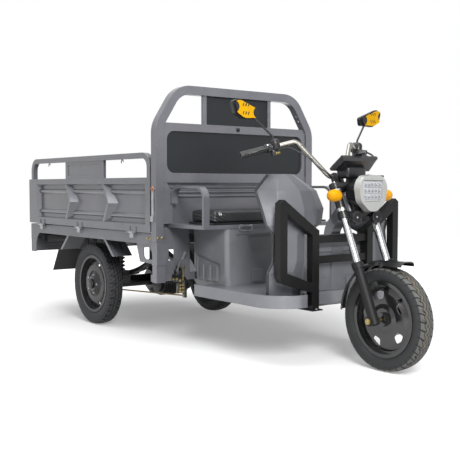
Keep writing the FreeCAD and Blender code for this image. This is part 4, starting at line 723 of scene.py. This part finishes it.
hasp_x, shelf_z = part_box("seat_shelf")[1][0] + 0.003, 0.634
bpy.ops.mesh.primitive_plane_add(size=1, location=(hasp_x, -0.189, shelf_z - 0.019),
                                 rotation=(0, math.pi / 2, 0))
hasp = bpy.context.object
hasp.scale = (0.03, 0.084, 1)
settle(hasp)
bpy.ops.object.mode_set(mode="EDIT")
bpy.ops.mesh.select_all(action="SELECT")
bpy.ops.mesh.bevel(offset=0.009, segments=5, affect="VERTICES")
bpy.ops.mesh.inset(thickness=0.005)
bpy.ops.mesh.delete(type="FACE")
bpy.ops.object.mode_set(mode="OBJECT")


def thicken(piece, thickness, offset):
    """Gives a sheet its wall."""
    wall = piece.modifiers.new("wall", "SOLIDIFY")
    wall.thickness = thickness
    wall.offset = offset
    bpy.ops.object.modifier_apply(modifier="wall")


thicken(hasp, 0.004, 0)
lugs = [block((0.006, 0.014, 0.012), (hasp_x, y, shelf_z - 0.005), 0.0018)
        for y in (-0.222, -0.156)]
hasp = join("box_hasp", [soften(hasp, 0.001)] + lugs)
fit(hasp, "chassis", galvanised)

# Seat box: one grey plastic moulding with pressed fields, which stands on the floor pan under
# the shelf and holds the batteries.
grey_plastic = surface("grey_plastic", (0.19, 0.194, 0.209), 0.36, grain=0.1, grain_scale=800,
                       coat=0.2, edge=0.004)
dress("seat_box", grey_plastic)
dress("battery_pack", black_plastic)

# Floor and shields: a pressed pan with a turned-down rim, two leg-shield lobes and a front panel,
# in the body paint. The shields and the front panel carry a darker copy of the paint, which is
# painted shade, and the pan a lighter copy, which is painted light. A dark rubber tube along each
# lobe's outer edge is painted shade: it stands in for the shadow gap between the lobe's covers.
# A darker copy of the body paint: painted shade on the shields and the front panel.
shaded_shield_paint = surface("shaded_shield_paint", (0.138, 0.141, 0.157), 0.44, metal=0.2, coat=0.08,
                       grain=0.02, grain_scale=900, edge=0.005)
dress("leg_shield lower_front_panel", shaded_shield_paint)
# A lighter copy of the body paint: painted light on the pan.
lit_pan_paint = surface("lit_pan_paint", (0.2, 0.203, 0.224), 0.34, metal=0.3, coat=0.25,
                    grain_scale=900, edge=0.004)
dress("floor_pan", lit_pan_paint)


def tube(name, kind, points, radius, fineness):
    """Round line with closed ends along the points."""
    line = bpy.data.curves.new(name, "CURVE")
    line.dimensions = "3D"
    line.bevel_depth = radius
    line.bevel_resolution = fineness
    line.use_fill_caps = True
    run = line.splines.new(kind)
    run.points.add(len(points) - 1)
    for point, spot in zip(run.points, points):
        point.co = (*spot, 1)
    if kind == "NURBS":
        run.order_u = 3
        run.use_endpoint_u = True
    return place(name, line)


# The dark tube along each lobe's outer edge is painted shade, in the place of the shadow gap
# between the lobe's covers.
shield_x, shadow_gap_out = 0.902, 0.0045
lobe_edge = [(-0.056, 0.374, 0.326), (-0.022, 0.402, 0.435), (-0.022, 0.373, 0.482),
             (-0.026, 0.363, 0.604), (-0.042, 0.394, 0.650), (-0.082, 0.388, 0.722),
             (-0.122, 0.392, 0.808), (-0.052, 0.378, 0.881)]
for side, name in sides:
    line = [(shield_x + x, side * (y + shadow_gap_out), z) for x, y, z in lobe_edge]
    settle(tube(name + "_shadow_gap", "POLY", line, 0.0062, 3))
    bpy.ops.object.convert(target="MESH")
    shade_edges()
    fit(bpy.context.object, "chassis", rubber)

# Bumper: bent square tube with flat slats welded in, powder-coated black. Three bolts through
# each flange hold it to the floor.
guard_black = surface("guard_black", (0.009, 0.009, 0.009), 0.36, grain=0.05, grain_scale=700,
                      level=0.18, edge=0.003)
dress("bumper", guard_black)
upright = (0, 0, 1)
flange_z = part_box("bumper")[0][2] + 0.006
bumper_bolts = repeat("bumper_bolts", bolt_mesh, mirrored([
    ((x, y, flange_z), upright) for x, y in ((0.961, -0.179), (0.879, -0.163), (0.879, -0.195))]))
fit(bumper_bolts, "chassis", galvanised)


# Brakes: a pull lever on a black plate beside the seat box works the rear drums through a rod,
# with a return spring and bolts in zinc and a moulded switch box, and a pedal works them from
# the floor.
def brake_rod(tree, x, y, z):
    """One behind the plate, where the rod is plain zinc."""
    return maths(tree, "LESS_THAN", x, 0.12)


bracket_black = surface("bracket_black", (0.013, 0.013, 0.014), 0.34, level=0.35,
                        bands=((brake_rod, (0.3, 0.22, 0.07)),))
dress("brake_bracket", bracket_black)
lever_steel = surface("lever_steel", (0.13, 0.132, 0.138), 0.36, metal=0.6, mottle=0.2,
                      mottle_scale=60)
dress("parking_lever", lever_steel)
dress("brake_pedal", rubber)
plate_y, tab_y, front_x = -0.425, -0.368, 0.120
bracket_bolts = repeat("bracket_bolts", bolt_mesh, [
    ((0.134, plate_y, 0.342), right), ((0.198, plate_y, 0.342), right),
    ((0.166, plate_y, 0.346), right), ((0.144, tab_y, 0.252), right),
    ((0.144, tab_y, 0.286), right), ((front_x, -0.40, 0.40), ahead),
    ((front_x, -0.35, 0.40), ahead)])
fit(bracket_bolts, "chassis", zinc)

wire, coil_radius, coil_pitch, coil_turns = 0.0014, 0.0065, 0.0042, 14
bpy.ops.mesh.primitive_circle_add(vertices=8, radius=wire, location=(coil_radius, 0, 0),
                                  rotation=(math.pi / 2, 0, 0))
coil = settle(bpy.context.object)
wind = coil.modifiers.new("wind", "SCREW")
wind.angle = round_turn
wind.screw_offset = coil_pitch
wind.iterations = coil_turns
wind.steps = 14
wind.render_steps = 14
bpy.ops.object.modifier_apply(modifier="wind")
seal(coil)
bpy.ops.object.shade_smooth()
return_spring = repeat("return_spring", master(coil), [
    ((0.160, -0.3835, 0.336), upright), ((0.150, -0.412, 0.268), (0.3, 0, 1))])
fit(return_spring, "chassis", zinc)

box_y, box_z = -0.404, 0.298
switch_box = block((0.034, 0.03, 0.05), (0.164, box_y, box_z), 0.004, 3)
switch_box.name = "brake_switch_box"
fit(switch_box, "chassis", black_plastic)
switch_bolts = repeat("switch_bolts", bolt_mesh, [
    ((0.181, box_y + y, box_z + z), ahead)
    for y in (-0.008, 0.008) for z in (-0.017, 0.0, 0.017)])
fit(switch_bolts, "chassis", zinc)

# Front fork: chromed stanchions clamped in black yokes, cast black sliders, and a plastic
# mudguard. Polished collars close the shrouds at the upper and the lower yoke.
chrome = surface("chrome", (0.46, 0.47, 0.49), 0.2, metal=1.0, mottle=0.05, grain=0.0)
dress("fork_tubes", chrome)
dress("steering_yokes", black_paint)
slider_black = surface("slider_black", (0.013, 0.013, 0.014), 0.5, grain=0.05, grain_scale=700,
                       level=0.2)
dress("fork_sliders", slider_black)
guard_gloss = surface("guard_gloss", (0.014, 0.014, 0.015), 0.14, coat=0.8)
dress("front_mudguard", guard_gloss)
dress("front_axle", zinc)
steer_head = Vector((0.9518, 0, 0.8100))
rake = math.radians(22.8)
fork_up = Vector((-math.sin(rake), 0, math.cos(rake)))
fork_fore = Vector((math.cos(rake), 0, math.sin(rake)))
bpy.ops.mesh.primitive_cylinder_add(vertices=40, radius=0.0245, depth=0.016,
                                    end_fill_type="NOTHING", location=(0, 0, 0))
collar = bpy.context.object
thicken(collar, 0.0022, -1)
collar_mesh = master(soften(collar, 0.0008))
leg_y, leg_fore = 0.098, 0.045
collars = []
for y in (-leg_y, leg_y):
    for along in (-0.027, -0.118):
        spot = steer_head + fork_fore * leg_fore + fork_up * along + Vector((0, y, 0))
        collars.append((spot, fork_up))
fork_collars = repeat("fork_collars", collar_mesh, collars)
alloy = surface("alloy", (0.5, 0.51, 0.52), 0.28, metal=1.0, mottle=0.08)
fit(fork_collars, "steering", alloy)

# Handlebar: a chromed tube with rubber grips, moulded switch pods, black levers in alloy perches,
# and the control cables, which leave each pod and run down into the upper yoke.
bar_chrome = surface("bar_chrome", (0.265, 0.254, 0.229), 0.26, metal=1.0, mottle=0.1,
                     mottle_scale=30)
dress("handlebar", bar_chrome)
dress("left_grip throttle_grip", rubber)
dress("switch_pods", black_plastic)
dress("right_brake_lever left_brake_lever", black_paint)
red_button = surface("red_button", (0.5, 0.01, 0.01), 0.25)
dress("horn_button", red_button)
bar_bend, bar_end = Vector((-0.137, -0.178, 0.230)), Vector((-0.251, -0.416, 0.162))
along_bar = (bar_end - bar_bend).normalized()
off_bar = (Vector(upright) - along_bar * along_bar.z).normalized()
leave = bar_bend + along_bar * 0.0948 - off_bar * 0.0155
route = [leave] + [leave - along_bar * back for back in (0.018, 0.034, 0.052)]
route += [Vector((-0.078, -0.141, 0.152)), Vector((-0.070, -0.128, 0.128)),
          Vector((-0.056, -0.112, 0.109))]
for rise in (0.066, 0.052, 0.036, 0.0122):
    route.append(fork_fore * 0.012 + fork_up * rise + Vector((0, -0.060, 0)))
for side, name in ((1, "right"), (-1, "left")):
    points = [steer_head + Vector((p.x, side * p.y, p.z)) for p in route]
    cable = tube(name + "_cable", "NURBS", points, 0.003, 4)
    fit(cable, "steering", rubber)
    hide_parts("control_cables")


def on_bar(side, reach, above, fore=0.0):
    """Point at the bar: so far along it, above it and in front of it."""
    spot = steer_head + bar_bend + along_bar * reach + off_bar * above + Vector((fore, 0, 0))
    return Vector((spot.x, side * spot.y, spot.z))


housing_sizes = ((0.104, 0.008, (0.058, 0.058, 0.04), 0.018),
                 (0.112, -0.027, (0.03, 0.034, 0.036), 0.005))
housings, perches, keys = [], [], []
for side in (1, -1):
    axis = Vector((along_bar.x, side * along_bar.y, along_bar.z))
    turn = axis.to_track_quat("Z", "Y").to_matrix().to_4x4()
    for reach, above, size, round_off in housing_sizes:
        housing = block(size, (0, 0, 0), round_off, 4)
        housing.data.transform(Matrix.Translation(on_bar(side, reach, above)) @ turn)
        housings.append(housing)
    perch = block((0.03, 0.036, 0.013), (0, 0, 0), 0.005, 3)
    perch.data.transform(Matrix.Translation(on_bar(side, 0.142, 0.002)) @ turn)
    perches.append(perch)
    keys += [(on_bar(side, 0.105 + 0.011 * i, -0.03, 0.0165), ahead) for i in range(2)]
fit(join("control_housings", housings), "steering", black_plastic)
fit(join("lever_perches", perches), "steering", alloy)
fit(repeat("control_keys", bolt_mesh, keys), "steering", zinc)

# Lamps and console: a headlight with fifteen small reflectors behind a pale surround, twin horns,
# amber signals on stalks, and a moulded console with a dark display over the lamp's cowl, all
# carried by the yokes.
dress("headlight_housing dash_console horns", black_plastic)
surround = surface("lamp_surround", (0.38, 0.385, 0.372), 0.2, mottle=0.05, coat=0.4)
dress("headlight_lens", surround)


def signal_stalk(tree, x, y, z):
    """One on the dark stalk that carries a signal."""
    return maths(tree, "LESS_THAN", maths(tree, "ABSOLUTE", y), 0.1405)


signal_amber = surface("signal_amber", (0.8, 0.35, 0.001), 0.3, mottle=0.12, mottle_scale=40,
                       coat=0.04, grain=0, level=0.12, relief=prisms, depth=0.0005,
                       bands=((signal_stalk, (0.014, 0.014, 0.016)),))
dress("turn_signals", signal_amber)
lamp_front, lamp_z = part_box("headlight_lens")[1][0], 0.806
backing = block((0.0022, 0.118, 0.088), (lamp_front - 0.0078, 0, lamp_z), 0.0009)
backing.name = "lamp_backing"
pale = surface("lamp_backing", (0.46, 0.47, 0.49), 0.25, mottle=0.04, coat=0.3)
fit(backing, "steering", pale)
bpy.ops.mesh.primitive_cube_add(size=1, location=(0, 0, 0.002))
cell = bpy.context.object
cell.scale = (0.017, 0.019, 0.004)
press(settle(cell), 0.0012, (-0.0032, 0.42), (0.0012, 0.8))
cell_mesh = master(soften(cell, 0.0003, 1))
column_pitch, row_pitch = 0.0225, 0.027
grid = [((lamp_front - 0.0067, column_pitch * column, lamp_z + row_pitch * row), ahead)
        for row in (1, 0, -1) for column in (-2, -1, 0, 1, 2)]
cells = repeat("lamp_reflectors", cell_mesh, grid)


def chip(tree, x, y, z):
    """One over the dark chip in the middle of each reflector."""
    half_chip = 0.0034
    column = maths(tree, "PINGPONG", maths(tree, "ADD", y, 10 * column_pitch), column_pitch / 2)
    row = maths(tree, "PINGPONG", maths(tree, "SUBTRACT", z, lamp_z - 10 * row_pitch),
                row_pitch / 2)
    return maths(tree, "MULTIPLY", maths(tree, "LESS_THAN", column, half_chip),
                 maths(tree, "LESS_THAN", row, half_chip))


silvered = surface("silvered", (0.42, 0.43, 0.45), 0.22, metal=0.5, mottle=0.04, grain=0,
                   bands=((chip, (0.16, 0.16, 0.15)),))
fit(cells, "steering", silvered)

horn_y, horn_high = 0.064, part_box("horns")[1]
horn_faces = [((horn_high[0] - 0.0031, y, horn_high[2] - 0.0295), ahead) for y in (-horn_y, horn_y)]
bpy.ops.mesh.primitive_torus_add(major_radius=0.017, minor_radius=0.0021, major_segments=44,
                                 minor_segments=10)
outer_ring = soften(bpy.context.object, 0.0002, 1)
bpy.ops.mesh.primitive_torus_add(major_radius=0.0095, minor_radius=0.0016, major_segments=36,
                                 minor_segments=8)
inner_ring = soften(bpy.context.object, 0.0002, 1)
ring_mesh = master(join("horn_ring", [outer_ring, inner_ring]))
fit(repeat("horn_rings", ring_mesh, horn_faces), "steering", guard_black)
bpy.ops.mesh.primitive_cylinder_add(vertices=20, radius=0.0044, depth=0.003,
                                    location=(0, 0, 0.0015))
pin = press(bpy.context.object, 0, (0.0012, 0.6))
pin_mesh = master(soften(pin, 0.0004))
fit(repeat("horn_pins", pin_mesh, horn_faces), "steering", alloy)

console_up = Vector((-0.67, 0, 0.742))
console_mid = steer_head + Vector((0.0627, 0, 0.1338))
bpy.ops.mesh.primitive_cube_add(size=1, location=(0, 0, 0))
display = bpy.context.object
display.name = "console_display"
display.scale = (0.05, 0.15, 0.004)
press(settle(display), 0.005, (-0.0012, 1))
soften(display, 0.0008)
turn = console_up.to_track_quat("Z", "X").to_matrix().to_4x4()
quarter = Matrix.Rotation(math.pi / 2, 4, "Z")
display.data.transform(Matrix.Translation(console_mid) @ turn @ quarter)
glass = surface("display_glass", (0.008, 0.009, 0.011), 0.06, coat=0.6, mottle=0.03, grain=0)
fit(display, "steering", glass)

cowl = block((0.082, 0.124, 0.056), (steer_head.x + 0.05, 0, steer_head.z + 0.082), 0.016, 4)
cowl.name = "lamp_cowl"
fit(cowl, "steering", black_plastic)

# Mirrors: dark moulded shells on bent stalks, with a yellow slotted cover clipped on the front
# and silvered glass set in behind.
dress("right_mirror left_mirror", black_plastic)
yellow = surface("yellow_cover", (0.66, 0.35, 0.002), 0.4, mottle=0.06, level=0.2)
silver_glass = surface("mirror_glass", (0.8, 0.82, 0.84), 0.03, metal=1.0, mottle=0.02, grain=0)
shell = [(-0.080, 0.036), (-0.043, 0.047), (0.080, 0.0), (0.074, -0.040), (-0.014, -0.044),
         (-0.062, -0.020)]
mirror_head = steer_head + Vector((-0.232, -0.414, 0.371))


def mirror_plate(name, share_y, share_z, x, thick):
    """Flat plate in the outline of the right mirror's shell, standing on x."""
    bpy.ops.mesh.primitive_circle_add(vertices=len(shell), radius=0.05, fill_type="NGON")
    piece = bpy.context.object
    piece.name = name
    for point, (y, z) in zip(piece.data.vertices, reversed(shell)):
        point.co = (x, share_y * y, share_z * z)
    bpy.ops.object.mode_set(mode="EDIT")
    bpy.ops.mesh.select_all(action="SELECT")
    bpy.ops.mesh.bevel(offset=0.011, segments=4, affect="VERTICES")
    bpy.ops.mesh.select_all(action="SELECT")
    bpy.ops.mesh.extrude_region_move(TRANSFORM_OT_translate={"value": (thick, 0, 0)})
    bpy.ops.mesh.select_all(action="SELECT")
    bpy.ops.mesh.normals_make_consistent(inside=False)
    bpy.ops.object.mode_set(mode="OBJECT")
    return piece


def carve(piece, cutters):
    """Cuts each cutter's shape out of the piece."""
    for cutter in cutters:
        cut = piece.modifiers.new("cut", "BOOLEAN")
        cut.operation = "DIFFERENCE"
        cut.object = cutter
        bpy.ops.object.select_all(action="DESELECT")
        bpy.context.view_layer.objects.active = piece
        bpy.ops.object.modifier_apply(modifier="cut")
        bpy.data.objects.remove(cutter)


cover = mirror_plate("cover", 0.9, 0.9, 0.0206, 0.0024)
cut_x, cut_depth, scoop, slot_lean = 0.02, 0.03, 0.026, math.radians(-24)
cutters = []
for y, z in ((-0.071, 0.01), (0.062, -0.012)):
    bpy.ops.mesh.primitive_cylinder_add(vertices=40, radius=scoop, depth=cut_depth,
                                        location=(cut_x, y, z), rotation=(0, math.pi / 2, 0))
    cutters.append(settle(bpy.context.object))
for z in (0.021, -0.017):
    for y in (-0.022, -0.007, 0.008):
        bpy.ops.mesh.primitive_cube_add(size=1, location=(cut_x, y, z), rotation=(slot_lean, 0, 0))
        bpy.context.object.scale = (cut_depth, 0.0062, 0.016)
        cutters.append(settle(bpy.context.object))
carve(cover, cutters)
cover_mesh = master(soften(cover, 0.0005, 1))
pane_mesh = master(soften(mirror_plate("pane", 0.86, 0.82, -0.0152, 0.0016), 0.0004, 1))
mirror_fittings = ((cover_mesh, "_mirror_cover", yellow, "amber_lens"),
                   (pane_mesh, "_mirror_glass", silver_glass, "chrome"))
for side, name in ((1, "right"), (-1, "left")):
    for mesh, label, finish, slot in mirror_fittings:
        own = mesh.copy()
        own.transform(Matrix.Translation(mirror_head))
        own.transform(Matrix.Diagonal((1, side, 1, 1)))
        if side < 0:
            own.flip_normals()
        fit(place(name + label, own), "mirror_" + name[0], finish)

# Sizes: the box of the solids and the box of the dressed vehicle, noted side by side in metres,
# so that the two can be compared.
size = {"cad": [list(map(float, corner)) for corner in cad_box],
        "visual": [list(map(float, corner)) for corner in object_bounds()]}
